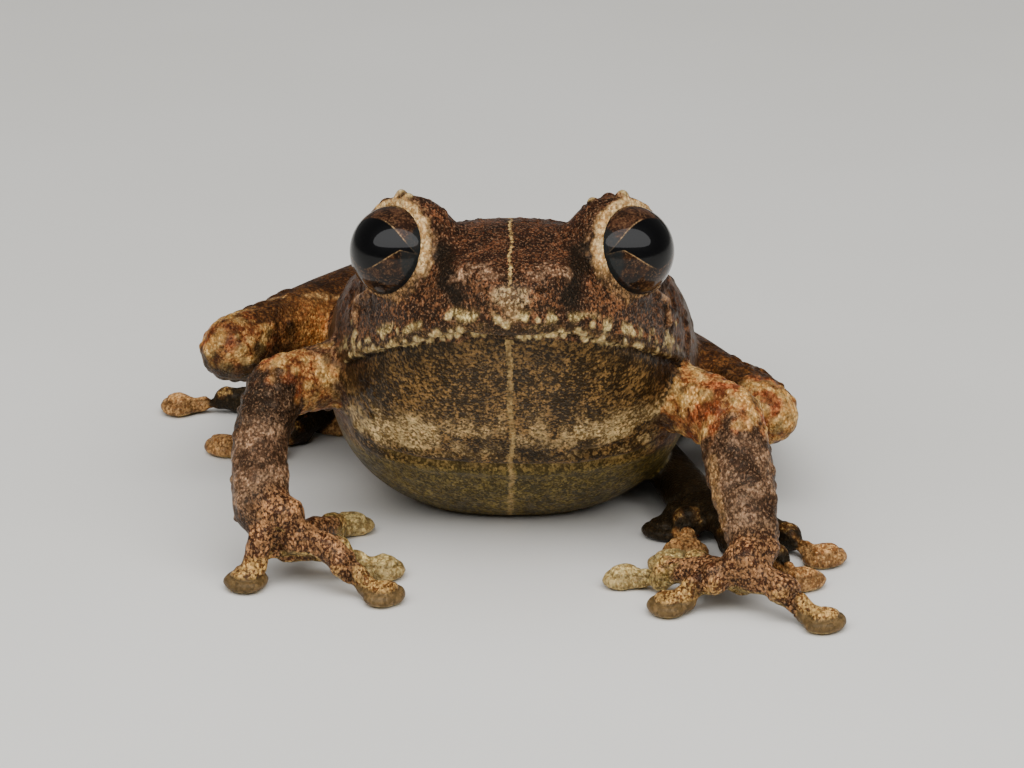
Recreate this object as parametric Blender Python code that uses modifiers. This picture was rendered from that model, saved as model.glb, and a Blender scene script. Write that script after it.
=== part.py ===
"""A small tree frog sitting still, life size, in named solids.

The frog looks along -Y, its left side is +X, and +Z is up. Everything is worked
out in millimetres and scaled to metres at the end. Flesh is modelled as smooth
forms, which are then parted by thin cuts, so that neighbours meet and never overlap.
"""

import math

import bmesh
import bpy
import numpy as np
from mathutils import Matrix, Vector
from mathutils.bvhtree import BVHTree

METRES = 0.001
GAP = 0.08  # the thin cut between two neighbouring parts
CUT_WIDENINGS = (1.0, 1.08, 0.93, 1.15)  # a cut that leaves a solid open is made again this wide
MERGE = 0.008  # points closer than this become one
LEFT, RIGHT = 1, -1
SIDES = {"left": LEFT, "right": RIGHT}

# Trunk and head, from the tip of the snout back to the vent:
# (distance back, half-width, underside, widest level, back).
TORSO = (
    (0.55, 0.00, 11.35, 11.35, 11.35),
    (1.10, 1.85, 9.95, 10.70, 12.40),
    (2.00, 3.15, 8.70, 10.10, 12.80),
    (3.50, 4.50, 6.80, 9.30, 13.00),
    (5.50, 5.60, 4.30, 8.20, 13.20),
    (8.00, 6.50, 1.55, 6.80, 12.80),
    (11.0, 7.05, -0.25, 5.60, 11.85),
    (15.0, 7.25, -0.45, 4.90, 10.55),
    (19.0, 6.85, -0.40, 4.40, 9.20),
    (22.5, 5.60, 0.40, 4.20, 7.75),
    (26.0, 3.90, 1.40, 4.00, 6.20),
    (27.8, 2.30, 2.50, 3.90, 5.10),
    (28.6, 0.00, 3.80, 3.80, 3.80),
)
SIDE_ROUNDNESS = 0.86  # under 1 squares the shoulders of a section
TOP_ROUNDNESS = 0.80
UNDER_ROUNDNESS = 0.92

EYE_RADIUS = 1.74
EYE_CENTRE = Vector((4.32, 5.0, 12.38))
EYE_AXIS = Vector((0.64, -0.64, 0.40)).normalized()
LID_RADIUS = 2.02
LID_RISE = 0.28
LID_SET_BACK = 0.66  # the lid's ball sits this far behind the eyeball, so a cap shows

MOUTH_FRONT = Vector((0.0, 0.9, 10.28))
MOUTH_CORNER = Vector((0.0, 8.4, 6.85))
NECK_POINT = Vector((0.0, 9.3, 7.2))
NECK_TILT = math.radians(24)

# Joint centres of each limb, from the body outwards, with the radius at each.
ARMS = {
    "left": (((4.8, 9.6, 5.9), 1.45), ((8.25, 5.6, 5.6), 1.3), ((9.0, 0.9, 2.15), 0.95)),
    "right": (((-4.8, 10.6, 6.2), 1.45), ((-9.0, 8.0, 6.1), 1.15), ((-9.45, 3.5, 2.8), 1.12)),
}
LEGS = {
    "left": (((3.4, 23.6, 3.3), 2.0), ((10.0, 11.3, 3.85), 1.15), ((8.7, 24.9, 1.0), 0.9),
             ((5.4, 17.8, 1.0), 0.85)),
    "right": (((-3.6, 25.0, 4.7), 2.1), ((-11.0, 13.2, 5.95), 1.25), ((-8.2, 28.0, 1.6), 0.9),
              ((-3.0, 24.6, 1.0), 0.85)),
}
MUSCLE = {
    "thigh_left": 1.9, "shank_left": 1.3, "tarsus_left": 0.85,
    "thigh_right": 1.9, "shank_right": 1.3, "tarsus_right": 0.85,
    "upper_arm_left": 1.35, "forearm_left": 1.3, "upper_arm_right": 1.35, "forearm_right": 1.08,
}
MUSCLE_AT = 0.38  # where that thickness lies, as a share of the segment's length
BOWED = {"forearm_right": Vector((-0.33, 0, 0))}  # how far a segment bends aside there

# Palms and soles run from the wrist or heel bone to where the digits fork.
PALMS = {
    "left": ((9.1, 0.7, 2.15), (8.6, -0.1, 2.0)),
    "right": ((-9.3, 3.4, 2.85), (-8.5, 2.75, 2.8)),
}
PALM_RADII = (0.95, 0.84)
PALM_FLATNESS = 0.85
SOLES = {
    "left": ((5.4, 17.4, 0.95), (7.0, 10.0, 0.85)),
    "right": ((-3.2, 24.4, 0.95), (-5.6, 23.2, 0.85)),
}
SOLE_RADII = (0.85, 1.15)
SOLE_FLATNESS = 0.62

DIGIT_RADIUS = 0.52
DIGIT_TAPER = (1.2, 1.0, 0.88, 0.68)  # share of the radius at the root, two knuckles and neck
PAD_LENGTH, PAD_WIDTH, PAD_HEIGHT = 0.76, 0.96, 0.5
KNUCKLES_AT = (0.40, 0.68)
KNUCKLE_RADIUS = 0.54
KNUCKLE_DROP = 0.16

# Tip of each finger, numbered from the innermost, with the height of its bent knuckle.
FINGERS = {
    "left": (((6.0, 4.3), 1.0), ((4.2, 2.6), 1.2), ((5.75, -0.4), 1.45), ((11.5, -2.1), 1.3)),
    "right": (((-6.2, 8.6), 1.3), ((-4.8, 3.6), 1.35), ((-4.75, 0.7), 1.8), ((-10.05, 2.2), 2.1)),
}
TOES = {
    "left": (((5.9, 7.9), 0.8), ((6.6, 5.6), 0.9), ((8.9, 4.2), 1.0), ((10.9, 2.3), 1.1),
             ((11.9, 4.9), 1.0)),
    "right": (((-7.2, 20.7), 0.8), ((-8.7, 19.2), 0.9), ((-9.9, 17.5), 1.0), ((-11.6, 18.0), 1.1),
              ((-13.75, 23.3), 1.0)),
}
PAD_LEVEL = 0.33  # the pads are centred here and flattened on the floor

# Triangles to thin the finished solids to.
TRIANGLES = {"trunk": 1250, "head": 1460, "lower_jaw": 340, "arm": 190, "leg": 200, "digit": 140}
DRAFT = 1.6  # solids are drawn with this many times their share, and thinned once cut
TORSO_DRAFT = 4160
VOXELS = {"torso": 0.2, "limb": 0.16, "palm": 0.13, "digit": 0.1}
SOFTENING = {"torso": 4, "limb": 2, "palm": 1, "digit": 1}


def clear_scene():
    for old in list(bpy.data.objects):
        bpy.data.objects.remove(old, do_unlink=True)


def smooth_through(knots, values, at):
    """A cubic curve through the values, each slope taken from the two neighbours."""
    knots = np.asarray(knots, float)
    values = np.asarray(values, float)
    slopes = np.gradient(values, knots, axis=0)
    at = np.clip(at, knots[0], knots[-1])
    span = int(np.clip(np.searchsorted(knots, at) - 1, 0, len(knots) - 2))
    width = knots[span + 1] - knots[span]
    t = (at - knots[span]) / width
    return (
        (2 * t**3 - 3 * t**2 + 1) * values[span]
        + (t**3 - 2 * t**2 + t) * width * slopes[span]
        + (3 * t**2 - 2 * t**3) * values[span + 1]
        + (t**3 - t**2) * width * slopes[span + 1]
    )


def power(value, exponent):
    return math.copysign(abs(value) ** exponent, value)


def link(name, bm):
    mesh = bpy.data.meshes.new(name)
    bm.to_mesh(mesh)
    bm.free()
    made = bpy.data.objects.new(name, mesh)
    bpy.context.scene.collection.objects.link(made)
    return made


def ball(centre, radii, turn=None, segments=20, rings=12):
    """An ellipsoid as a bmesh; turn is the rotation that its radii are given in."""
    bm = bmesh.new()
    bmesh.ops.create_uvsphere(bm, u_segments=segments, v_segments=rings, radius=1)
    place = Matrix.Translation(centre) @ (turn or Matrix.Identity(4)) @ Matrix.Diagonal((*radii, 1))
    bmesh.ops.transform(bm, matrix=place, verts=bm.verts)
    return bm


def torso_bmesh():
    """A sphere whose poles are the snout and the vent, drawn out through the TORSO sections."""
    bm = bmesh.new()
    bmesh.ops.create_uvsphere(bm, u_segments=48, v_segments=56, radius=1)
    first, last = TORSO[0][0], TORSO[-1][0]
    angles = [math.acos(1 - 2 * (row[0] - first) / (last - first)) for row in TORSO]
    sections = [row[1:] for row in TORSO]
    for vert in bm.verts:
        angle = math.acos(max(-1, min(1, vert.co.z)))
        turn = math.atan2(vert.co.y, vert.co.x)
        half_width, under, level, back = smooth_through(angles, sections, angle)
        across = half_width * power(math.cos(turn), SIDE_ROUNDNESS)
        if math.sin(turn) > 0:
            height = level + (back - level) * math.sin(turn) ** TOP_ROUNDNESS
        else:
            height = level - (level - under) * (-math.sin(turn)) ** UNDER_ROUNDNESS
        along = first + (last - first) * (1 - math.cos(angle)) / 2
        vert.co = Vector((across, along, height))
    bmesh.ops.recalc_face_normals(bm, faces=bm.faces)
    return bm


def tube_bmesh(points, radii, segments=16, rings=26):
    """A round tube with ball ends through the points, with the given radius at each."""
    points = [Vector(p) for p in points]
    lengths = np.cumsum([0] + [(b - a).length for a, b in zip(points, points[1:])])
    total = lengths[-1]
    bm = bmesh.new()
    bmesh.ops.create_uvsphere(bm, u_segments=segments, v_segments=rings, radius=1)
    for vert in bm.verts:
        angle = math.acos(max(-1, min(1, vert.co.z)))
        turn = math.atan2(vert.co.y, vert.co.x)
        along, scale = along_tube(angle, total)
        here = Vector(smooth_through(lengths, points, along))
        ahead = Vector(smooth_through(lengths, points, min(along + 0.05, total)))
        behind = Vector(smooth_through(lengths, points, max(along - 0.05, 0)))
        forward = (ahead - behind).normalized()
        side = forward.cross(Vector((0, 0, 1)))
        if side.length < 0.05:
            side = Vector((1, 0, 0))
        side.normalize()
        rise = side.cross(forward)
        radius = float(smooth_through(lengths, radii, along)) * scale
        overshoot = end_overshoot(angle, radii[0], radii[-1])
        vert.co = here + forward * overshoot + radius * (side * math.cos(turn) + rise * math.sin(turn))
    bmesh.ops.recalc_face_normals(bm, faces=bm.faces)
    return bm


CAP_ANGLE = math.radians(42)  # the share of the sphere's latitudes that makes each ball end


def along_tube(angle, total):
    """How far along the tube a latitude lies, and its share of the tube's radius there."""
    if angle < CAP_ANGLE:
        return 0.0, math.sin(angle / CAP_ANGLE * math.pi / 2)
    if angle > math.pi - CAP_ANGLE:
        return total, math.sin((math.pi - angle) / CAP_ANGLE * math.pi / 2)
    return total * (angle - CAP_ANGLE) / (math.pi - 2 * CAP_ANGLE), 1.0


def end_overshoot(angle, first_radius, last_radius):
    """How far a ball end's latitude reaches past the tube's end point."""
    if angle < CAP_ANGLE:
        return -first_radius * math.cos(angle / CAP_ANGLE * math.pi / 2)
    if angle > math.pi - CAP_ANGLE:
        return last_radius * math.cos((math.pi - angle) / CAP_ANGLE * math.pi / 2)
    return 0.0


def merged(name, shapes, make, triangles):
    """The shapes as one body: remeshed together, softened and thinned to a draft."""
    whole = bmesh.new()
    for shape in shapes:
        piece = bpy.data.meshes.new("shape")
        shape.to_mesh(piece)
        shape.free()
        whole.from_mesh(piece)
        bpy.data.meshes.remove(piece)
    made = link(name, whole)
    remesh = made.modifiers.new("one_surface", "REMESH")
    remesh.mode = "VOXEL"
    remesh.voxel_size = VOXELS[make]
    smooth = made.modifiers.new("soften", "SMOOTH")
    smooth.factor = 0.5
    smooth.iterations = SOFTENING[make]
    apply_modifiers(made)
    thin_to(made, triangles)
    return made


def triangle_count(made):
    made.data.calc_loop_triangles()
    return len(made.data.loop_triangles)


def closed(mesh):
    bm = bmesh.new()
    bm.from_mesh(mesh)
    sound = all(len(edge.link_faces) == 2 for edge in bm.edges)
    bm.free()
    return sound


def thin_to(made, triangles):
    """Thins the surface evenly to about that many triangles, leaving it closed."""
    full = made.data.copy()
    for spare in range(0, 30, 2):
        thin = made.modifiers.new("thin", "DECIMATE")
        thin.ratio = min(1.0, triangles * (1 + spare / 100) / triangle_count(made))
        apply_modifiers(made)
        if closed(made.data):
            break
        made.data = full.copy()
    bpy.data.meshes.remove(full)


def apply_modifiers(made):
    graph = bpy.context.evaluated_depsgraph_get()
    mesh = bpy.data.meshes.new_from_object(made.evaluated_get(graph))
    made.modifiers.clear()
    old = made.data
    made.data = mesh
    bpy.data.meshes.remove(old)


def copy_of(made, name):
    copy = bpy.data.objects.new(name, made.data.copy())
    bpy.context.scene.collection.objects.link(copy)
    return copy


def trim(made, point, normal):
    """Cuts off what lies beyond the plane, on the side its normal points to, and closes the cut."""
    bm = bmesh.new()
    bm.from_mesh(made.data)
    everything = bm.verts[:] + bm.edges[:] + bm.faces[:]
    cut = bmesh.ops.bisect_plane(
        bm, geom=everything, dist=1e-5, plane_co=point, plane_no=normal, clear_outer=True
    )
    rim = [v for v in cut["geom_cut"] if isinstance(v, bmesh.types.BMVert)]
    bmesh.ops.remove_doubles(bm, verts=rim, dist=MERGE)
    edges = [e for e in bm.edges if len(e.link_faces) == 1]
    bmesh.ops.triangle_fill(bm, use_beauty=True, use_dissolve=False, edges=edges)
    bmesh.ops.recalc_face_normals(bm, faces=bm.faces)
    bm.to_mesh(made.data)
    bm.free()


def trim_between(before, after, joint, normal):
    """Parts two solids at a plane through their joint, half a gap to each side."""
    normal = Vector(normal).normalized()
    trim(before, Vector(joint) - normal * GAP / 2, normal)
    trim(after, Vector(joint) + normal * GAP / 2, -normal)


def grown(solid, amount):
    """A copy of the solid with its surface moved outwards by the amount."""
    cutter = copy_of(solid, "cutter")
    bm = bmesh.new()
    bm.from_mesh(cutter.data)
    bm.normal_update()
    moved = [v.co + v.normal * amount for v in bm.verts]
    for vert, place in zip(bm.verts, moved):
        vert.co = place
    bm.to_mesh(cutter.data)
    bm.free()
    return cutter


def surfaces_cross(a, b):
    trees = []
    for solid in (a, b):
        bm = bmesh.new()
        bm.from_mesh(solid.data)
        trees.append(BVHTree.FromBMesh(bm))
        bm.free()
    return bool(trees[0].overlap(trees[1]))


def cut_clear(made, forms):
    """Takes the room of the other forms, and a gap round them, out of this solid."""
    for form in forms:
        uncut = made.data.copy()
        for widening in CUT_WIDENINGS:
            cutter = grown(form, GAP * widening)
            crossed = surfaces_cross(made, cutter)
            if crossed:
                cut = made.modifiers.new("clear", "BOOLEAN")
                cut.operation = "DIFFERENCE"
                cut.object = cutter
                apply_modifiers(made)
                if not closed(made.data):
                    weld(made)
                keep_largest(made)
            bpy.data.objects.remove(cutter, do_unlink=True)
            if not crossed or closed(made.data):
                break
            made.data = uncut.copy()


def weld(made):
    """Joins the points that a cut leaves almost on top of each other."""
    bm = bmesh.new()
    bm.from_mesh(made.data)
    bmesh.ops.remove_doubles(bm, verts=bm.verts, dist=MERGE)
    bmesh.ops.dissolve_degenerate(bm, edges=bm.edges, dist=MERGE)
    bmesh.ops.triangulate(bm, faces=bm.faces)
    bm.to_mesh(made.data)
    bm.free()


def keep_largest(made):
    """Drops the crumbs that a cut leaves, and keeps the largest connected body."""
    bm = bmesh.new()
    bm.from_mesh(made.data)
    bmesh.ops.triangulate(bm, faces=bm.faces)
    unseen = set(bm.faces)
    bodies = []
    while unseen:
        start = unseen.pop()
        body, front = [start], [start]
        while front:
            face = front.pop()
            for edge in face.edges:
                for near in edge.link_faces:
                    if near in unseen:
                        unseen.remove(near)
                        body.append(near)
                        front.append(near)
        bodies.append(body)
    bodies.sort(key=lambda body: sum(face.calc_area() for face in body), reverse=True)
    crumbs = [face for body in bodies[1:] for face in body]
    bmesh.ops.delete(bm, geom=crumbs, context="FACES")
    bm.to_mesh(made.data)
    bm.free()


def mirrored(vector, side):
    return Vector((vector[0] * side, vector[1], vector[2]))


def head_and_trunk():
    """The torso with its lids, parted into trunk, head and lower jaw."""
    shapes = [torso_bmesh()]
    for side in SIDES.values():
        lid_centre = mirrored(EYE_CENTRE - EYE_AXIS * LID_SET_BACK + Vector((0, 0, LID_RISE)), side)
        shapes.append(ball(lid_centre, (LID_RADIUS,) * 3, segments=32, rings=20))
    torso = merged("torso", shapes, "torso", TORSO_DRAFT)

    eyes = {}
    for name, side in SIDES.items():
        eyeball = ball(mirrored(EYE_CENTRE, side), (EYE_RADIUS,) * 3, segments=18, rings=10)
        eyes[name] = link(f"eye_{name}", eyeball)
    cut_clear(torso, eyes.values())

    trunk = torso
    trunk.name = "trunk"
    head = copy_of(trunk, "head")
    backward = Vector((0, math.cos(NECK_TILT), -math.sin(NECK_TILT)))
    trim_between(head, trunk, NECK_POINT, backward)
    jaw = copy_of(head, "lower_jaw")
    slope = MOUTH_CORNER - MOUTH_FRONT
    upward = Vector((0, -slope.z, slope.y))
    trim_between(jaw, head, MOUTH_FRONT, upward)
    return trunk, head, jaw, eyes


def limb(joints, names, side_name):
    """A chain of muscled segments, mitred where two of them meet."""
    made = []
    for (start, start_radius), (end, end_radius), name in zip(joints, joints[1:], names):
        start, end = Vector(start), Vector(end)
        segment = f"{name}_{side_name}"
        belly = start.lerp(end, MUSCLE_AT) + BOWED.get(segment, Vector())
        shape = tube_bmesh((start, belly, end), (start_radius, MUSCLE[segment], end_radius))
        made.append(merged(segment, [shape], "limb", TRIANGLES[kind_of(name)] * DRAFT))
    for before, after, (a, _), (b, _), (c, _) in zip(made, made[1:], joints, joints[1:], joints[2:]):
        a, b, c = Vector(a), Vector(b), Vector(c)
        trim_between(before, after, b, (b - a).normalized() + (c - b).normalized())
    return made


def digit(name, root, tip, knuckle_height):
    """One finger or toe: an arched stalk with two knuckles and a round pad at its tip."""
    root = Vector(root)
    tip = Vector((*tip, PAD_LEVEL))
    flat = Vector((tip.x - root.x, tip.y - root.y, 0)).normalized()
    near, far = (root.lerp(tip, share) for share in KNUCKLES_AT)
    near.z = knuckle_height
    far.z = 0.5 * knuckle_height + 0.12
    neck = tip - flat * PAD_LENGTH * 0.8
    radii = [DIGIT_RADIUS * share for share in DIGIT_TAPER]
    stalk = tube_bmesh((root, near, far, neck), radii, segments=12, rings=24)
    heading = Matrix.Rotation(math.atan2(flat.x, -flat.y), 4, "Z")
    pad = ball(tip, (PAD_WIDTH, PAD_LENGTH, PAD_HEIGHT), heading)
    drop = Vector((0, 0, KNUCKLE_DROP))
    knuckles = [ball(place - drop, (KNUCKLE_RADIUS,) * 3) for place in (near, far)]
    return merged(name, [stalk, pad, *knuckles], "digit", TRIANGLES["digit"] * DRAFT)


def hand(name, ends, radii, flatness, tips, kind, side_name):
    """A palm or sole and its digits; neighbouring digits are parted along the line between them."""
    start, fork = Vector(ends[0]), Vector(ends[1])
    shape = tube_bmesh((start, start.lerp(fork, 0.5), fork), (radii[0], sum(radii) / 2, radii[1]))
    bmesh.ops.scale(shape, vec=(1, 1, flatness), verts=shape.verts,
                    space=Matrix.Translation((0, 0, -(start.z + fork.z) / 2)))
    palm = merged(name, [shape], "palm", TRIANGLES["arm"] * DRAFT)
    headings = [Vector((tip[0] - fork.x, tip[1] - fork.y, 0)).normalized() for tip, _ in tips]
    digits = []
    for number, (heading, (tip, knuckle_height)) in enumerate(zip(headings, tips), 1):
        root = fork + heading * radii[1] * 0.3
        root.z = min(fork.z, knuckle_height)
        digits.append(digit(f"{kind}_{number}_{side_name}", root, tip, knuckle_height))
    for first, second, this, following in zip(digits, digits[1:], headings, headings[1:]):
        between = (following - this).normalized()
        trim_between(first, second, fork, between)
    return palm, digits


def stand_on_floor(solids):
    """Flattens what dips under the floor, so that belly and pads rest on one level."""
    for solid in solids:
        if min(v.co.z for v in solid.data.vertices) < 0:
            trim(solid, Vector((0, 0, 0)), Vector((0, 0, -1)))


def part_all(solids):
    """Cuts each solid clear of the whole forms of those listed before it, then thins it."""
    forms = [copy_of(solid, "form") for solid in solids]
    for index, solid in enumerate(solids):
        cut_clear(solid, forms[:index])
        thin_to(solid, TRIANGLES[kind_of(solid.name)])
    for form in forms:
        bpy.data.objects.remove(form, do_unlink=True)


SKIN_COLOURS = {
    "trunk": (0.16, 0.085, 0.045),
    "head": (0.13, 0.07, 0.04),
    "lower_jaw": (0.17, 0.11, 0.045),
    "eye": (0.01, 0.01, 0.012),
    "arm": (0.28, 0.15, 0.08),
    "leg": (0.30, 0.16, 0.07),
    "digit": (0.40, 0.27, 0.13),
}


def skin_material(kind):
    name = f"{kind}_finish"
    if name in bpy.data.materials:
        return bpy.data.materials[name]
    made = bpy.data.materials.new(name)
    made.use_nodes = True
    shader = made.node_tree.nodes["Principled BSDF"]
    shader.inputs["Base Color"].default_value = (*SKIN_COLOURS[kind], 1)
    shader.inputs["Roughness"].default_value = 0.05 if kind == "eye" else 0.5
    shader.inputs["Metallic"].default_value = 0.0
    return made


def kind_of(name):
    if name.startswith(("finger", "toe")):
        return "digit"
    if name.startswith(("thigh", "shank", "tarsus", "foot")):
        return "leg"
    if name.startswith(("upper_arm", "forearm", "hand")):
        return "arm"
    return "eye" if name.startswith("eye") else name


def finish(solids):
    """Centres the frog on its box, scales it to metres and gives each node its material."""
    corners = np.array([v.co for solid in solids for v in solid.data.vertices])
    middle = (corners.min(axis=0) + corners.max(axis=0)) / 2
    place = Matrix.Scale(METRES, 4) @ Matrix.Translation((-middle[0], -middle[1], 0))
    frog = bpy.data.collections.new("tree_frog")
    bpy.context.scene.collection.children.link(frog)
    for solid in solids:
        solid.data.transform(place)
        solid.data.materials.clear()
        solid.data.materials.append(skin_material(kind_of(solid.name)))
        solid.data.shade_smooth()
        bpy.context.scene.collection.objects.unlink(solid)
        frog.objects.link(solid)


def main():
    clear_scene()
    trunk, head, jaw, eyes = head_and_trunk()
    solids = [trunk, head, jaw]
    for side_name in SIDES:
        arm = limb(ARMS[side_name], ("upper_arm", "forearm"), side_name)
        leg = limb(LEGS[side_name], ("thigh", "shank", "tarsus"), side_name)
        palm, fingers = hand(
            f"hand_{side_name}", PALMS[side_name], PALM_RADII, PALM_FLATNESS,
            FINGERS[side_name], "finger", side_name,
        )
        sole, toes = hand(
            f"foot_{side_name}", SOLES[side_name], SOLE_RADII, SOLE_FLATNESS,
            TOES[side_name], "toe", side_name,
        )
        solids += [*arm, *leg, palm, sole, *fingers, *toes]
    part_all(solids)
    stand_on_floor(solids)
    finish([*solids, *eyes.values()])


main()
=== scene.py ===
import math

import bmesh
import bpy
import numpy as np
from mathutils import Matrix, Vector
from mathutils.bvhtree import BVHTree
from mathutils.kdtree import KDTree

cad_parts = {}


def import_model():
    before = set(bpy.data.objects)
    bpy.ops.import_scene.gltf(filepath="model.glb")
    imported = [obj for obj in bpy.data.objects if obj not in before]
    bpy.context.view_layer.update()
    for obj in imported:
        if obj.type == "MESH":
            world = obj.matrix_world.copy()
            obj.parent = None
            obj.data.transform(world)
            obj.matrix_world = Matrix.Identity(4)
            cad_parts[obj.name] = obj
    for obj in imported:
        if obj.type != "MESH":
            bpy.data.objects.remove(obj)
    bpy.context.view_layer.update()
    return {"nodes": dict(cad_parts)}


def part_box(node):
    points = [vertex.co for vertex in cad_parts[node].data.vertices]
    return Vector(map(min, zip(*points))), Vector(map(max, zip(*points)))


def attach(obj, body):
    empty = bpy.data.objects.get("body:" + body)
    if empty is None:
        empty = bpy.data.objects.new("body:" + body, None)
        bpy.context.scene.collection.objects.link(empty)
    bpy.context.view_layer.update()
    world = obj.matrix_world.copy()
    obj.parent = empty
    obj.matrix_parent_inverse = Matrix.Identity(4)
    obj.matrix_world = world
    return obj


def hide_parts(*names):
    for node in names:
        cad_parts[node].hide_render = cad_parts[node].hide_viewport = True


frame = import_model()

# The frog is drawn in millimetres: X to its left, Y from the snout back, Z up from the floor.
# The middle of its two eyes is a known point of that drawing, and ties it to the frame.
MM = 0.001
EYE_MIDDLE = np.array((0.0, 5.0, 12.38))
EYE_AXIS = np.array((0.64, -0.64, 0.40)) / math.hypot(0.64, 0.64, 0.40)
SIDES = {"left": 1, "right": -1}
FLESH = [name for name in frame["nodes"] if not name.startswith("eye")]


LEFT_EYE, RIGHT_EYE = (np.mean(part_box(f"eye_{side}"), axis=0) for side in SIDES)
EYE_OUT = (LEFT_EYE - RIGHT_EYE)[0] / 2 / MM
EYE_RADIUS = (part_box("eye_left")[1].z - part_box("eye_left")[0].z) / 2 / MM
ORIGIN = (LEFT_EYE + RIGHT_EYE) / 2 - EYE_MIDDLE * MM


def world(point):
    """A point of the drawing, in the frame's metres."""
    return Vector(ORIGIN + np.asarray(point, float) * MM)


def drawing(points):
    """Points of the frame, in the drawing's millimetres."""
    return (np.asarray(points, float) - ORIGIN) / MM


# ---- small tools

def paint_chart(red, green, blue):
    """A colour as a paint chart gives it, 0 to 255, made linear."""
    values = np.array((red, green, blue)) / 255
    return np.where(values <= 0.04045, values / 12.92, ((values + 0.055) / 1.055) ** 2.4)


def ease(low, high, value):
    """0 at low, 1 at high and beyond, with a soft start and end; low may be the higher one."""
    t = np.clip((value - low) / (high - low), 0, 1)
    return t * t * (3 - 2 * t)


def bell(distance, width):
    """1 at no distance, falling softly to 0 past the width."""
    return np.exp(-((distance / width) ** 2))


def unit(vector):
    vector = np.asarray(vector, float)
    return vector / np.linalg.norm(vector)


def on_side(path, side):
    """A point or a bent line drawn for the frog's left, on the given side."""
    return np.asarray(path, float) * (side, 1, 1)


def length_of(rows):
    return np.linalg.norm(rows, axis=1)


def to_line(points, path):
    """Distance of each point from a bent line."""
    path = np.asarray(path, float)
    lengths = length_of(np.diff(path, axis=0))
    best = np.full(len(points), np.inf)
    for first, last, length in zip(path, path[1:], lengths):
        direction = (last - first) / length
        along = np.clip((points - first) @ direction, 0, length)
        best = np.minimum(best, length_of(points - first - along[:, None] * direction))
    return best


def to_point(points, place):
    return length_of(points - np.asarray(place, float))


WAVES = 14
WAVES_RISE = 4.2  # how high the sum of that many waves often rises


def wander(points, size, seed):
    """Smooth blotches of about this size, -1 to 1, from a sum of waves."""
    rng = np.random.default_rng(seed)
    total = np.zeros(len(points))
    for _ in range(WAVES):
        wave = size * rng.uniform(0.7, 1.6)
        phase = rng.uniform(0, 2 * math.pi)
        total += np.sin(points @ unit(rng.normal(size=3)) * (2 * math.pi / wave) + phase)
    return np.clip(total / WAVES_RISE, -1, 1)


def link(mesh, name):
    made = bpy.data.objects.new(name, mesh)
    bpy.context.scene.collection.objects.link(made)
    return made


def evaluated(made):
    """Puts the modifiers' result in place of the object's mesh."""
    graph = bpy.context.evaluated_depsgraph_get()
    mesh = bpy.data.meshes.new_from_object(made.evaluated_get(graph))
    made.modifiers.clear()
    made.data = mesh


def rows_of(items, name, width, kind=float):
    """One value of every item, as the rows of an array."""
    out = np.empty(len(items) * width, kind)
    items.foreach_get(name, out)
    return out.reshape(-1, width)


def points_of(mesh):
    return rows_of(mesh.vertices, "co", 3)


def normals_of(mesh):
    return rows_of(mesh.vertex_normals, "vector", 3)


def set_points(mesh, points):
    mesh.vertices.foreach_set("co", np.ascontiguousarray(points).ravel())
    mesh.update()


def keep_vectors(mesh, name, values):
    """Keeps a vector at each point of the mesh, for its material to read."""
    made = mesh.attributes.new(name, "FLOAT_VECTOR", "POINT")
    made.data.foreach_set("vector", values.astype(np.float32).ravel())


def swell(mesh, amount):
    """Moves each point along its normal."""
    set_points(mesh, points_of(mesh) + normals_of(mesh) * amount[:, None])


def relax(mesh, weight, rounds):
    """Evens the surface out, as much as each point's weight says."""
    edges = rows_of(mesh.edges, "vertices", 2, int)
    points = points_of(mesh)
    count = len(points)
    ends = np.concatenate((edges[:, 0], edges[:, 1]))
    others = np.concatenate((edges[:, 1], edges[:, 0]))
    share = 1 / np.maximum(np.bincount(ends, minlength=count), 1)
    for _ in range(rounds):
        near = np.stack([np.bincount(ends, points[others, k], count) for k in range(3)], axis=1)
        points += weight[:, None] * (near * share[:, None] - points)
    set_points(mesh, points)


# ---- the flesh from the frame

MERGED = 0.002  # points of a CAD solid nearer than this are one
JOINED = 0.2  # CAD solids touch where they are nearer than this


def flesh_bmesh(node):
    """A CAD solid's surface in the drawing's millimetres, with its loose triangles merged."""
    bm = bmesh.new()
    bm.from_mesh(frame["nodes"][node].data)
    for vert in bm.verts:
        vert.co = drawing(vert.co)
    bmesh.ops.remove_doubles(bm, verts=bm.verts, dist=MERGED)
    bm.normal_update()
    return bm


LOOK_FROM = 20.0  # how far ahead, out at each side and up the flesh is looked at from
FRONT_DEPTH = 26.0  # from there to the flesh beside the eyes
FLANK_DEPTH = 14.0


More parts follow.
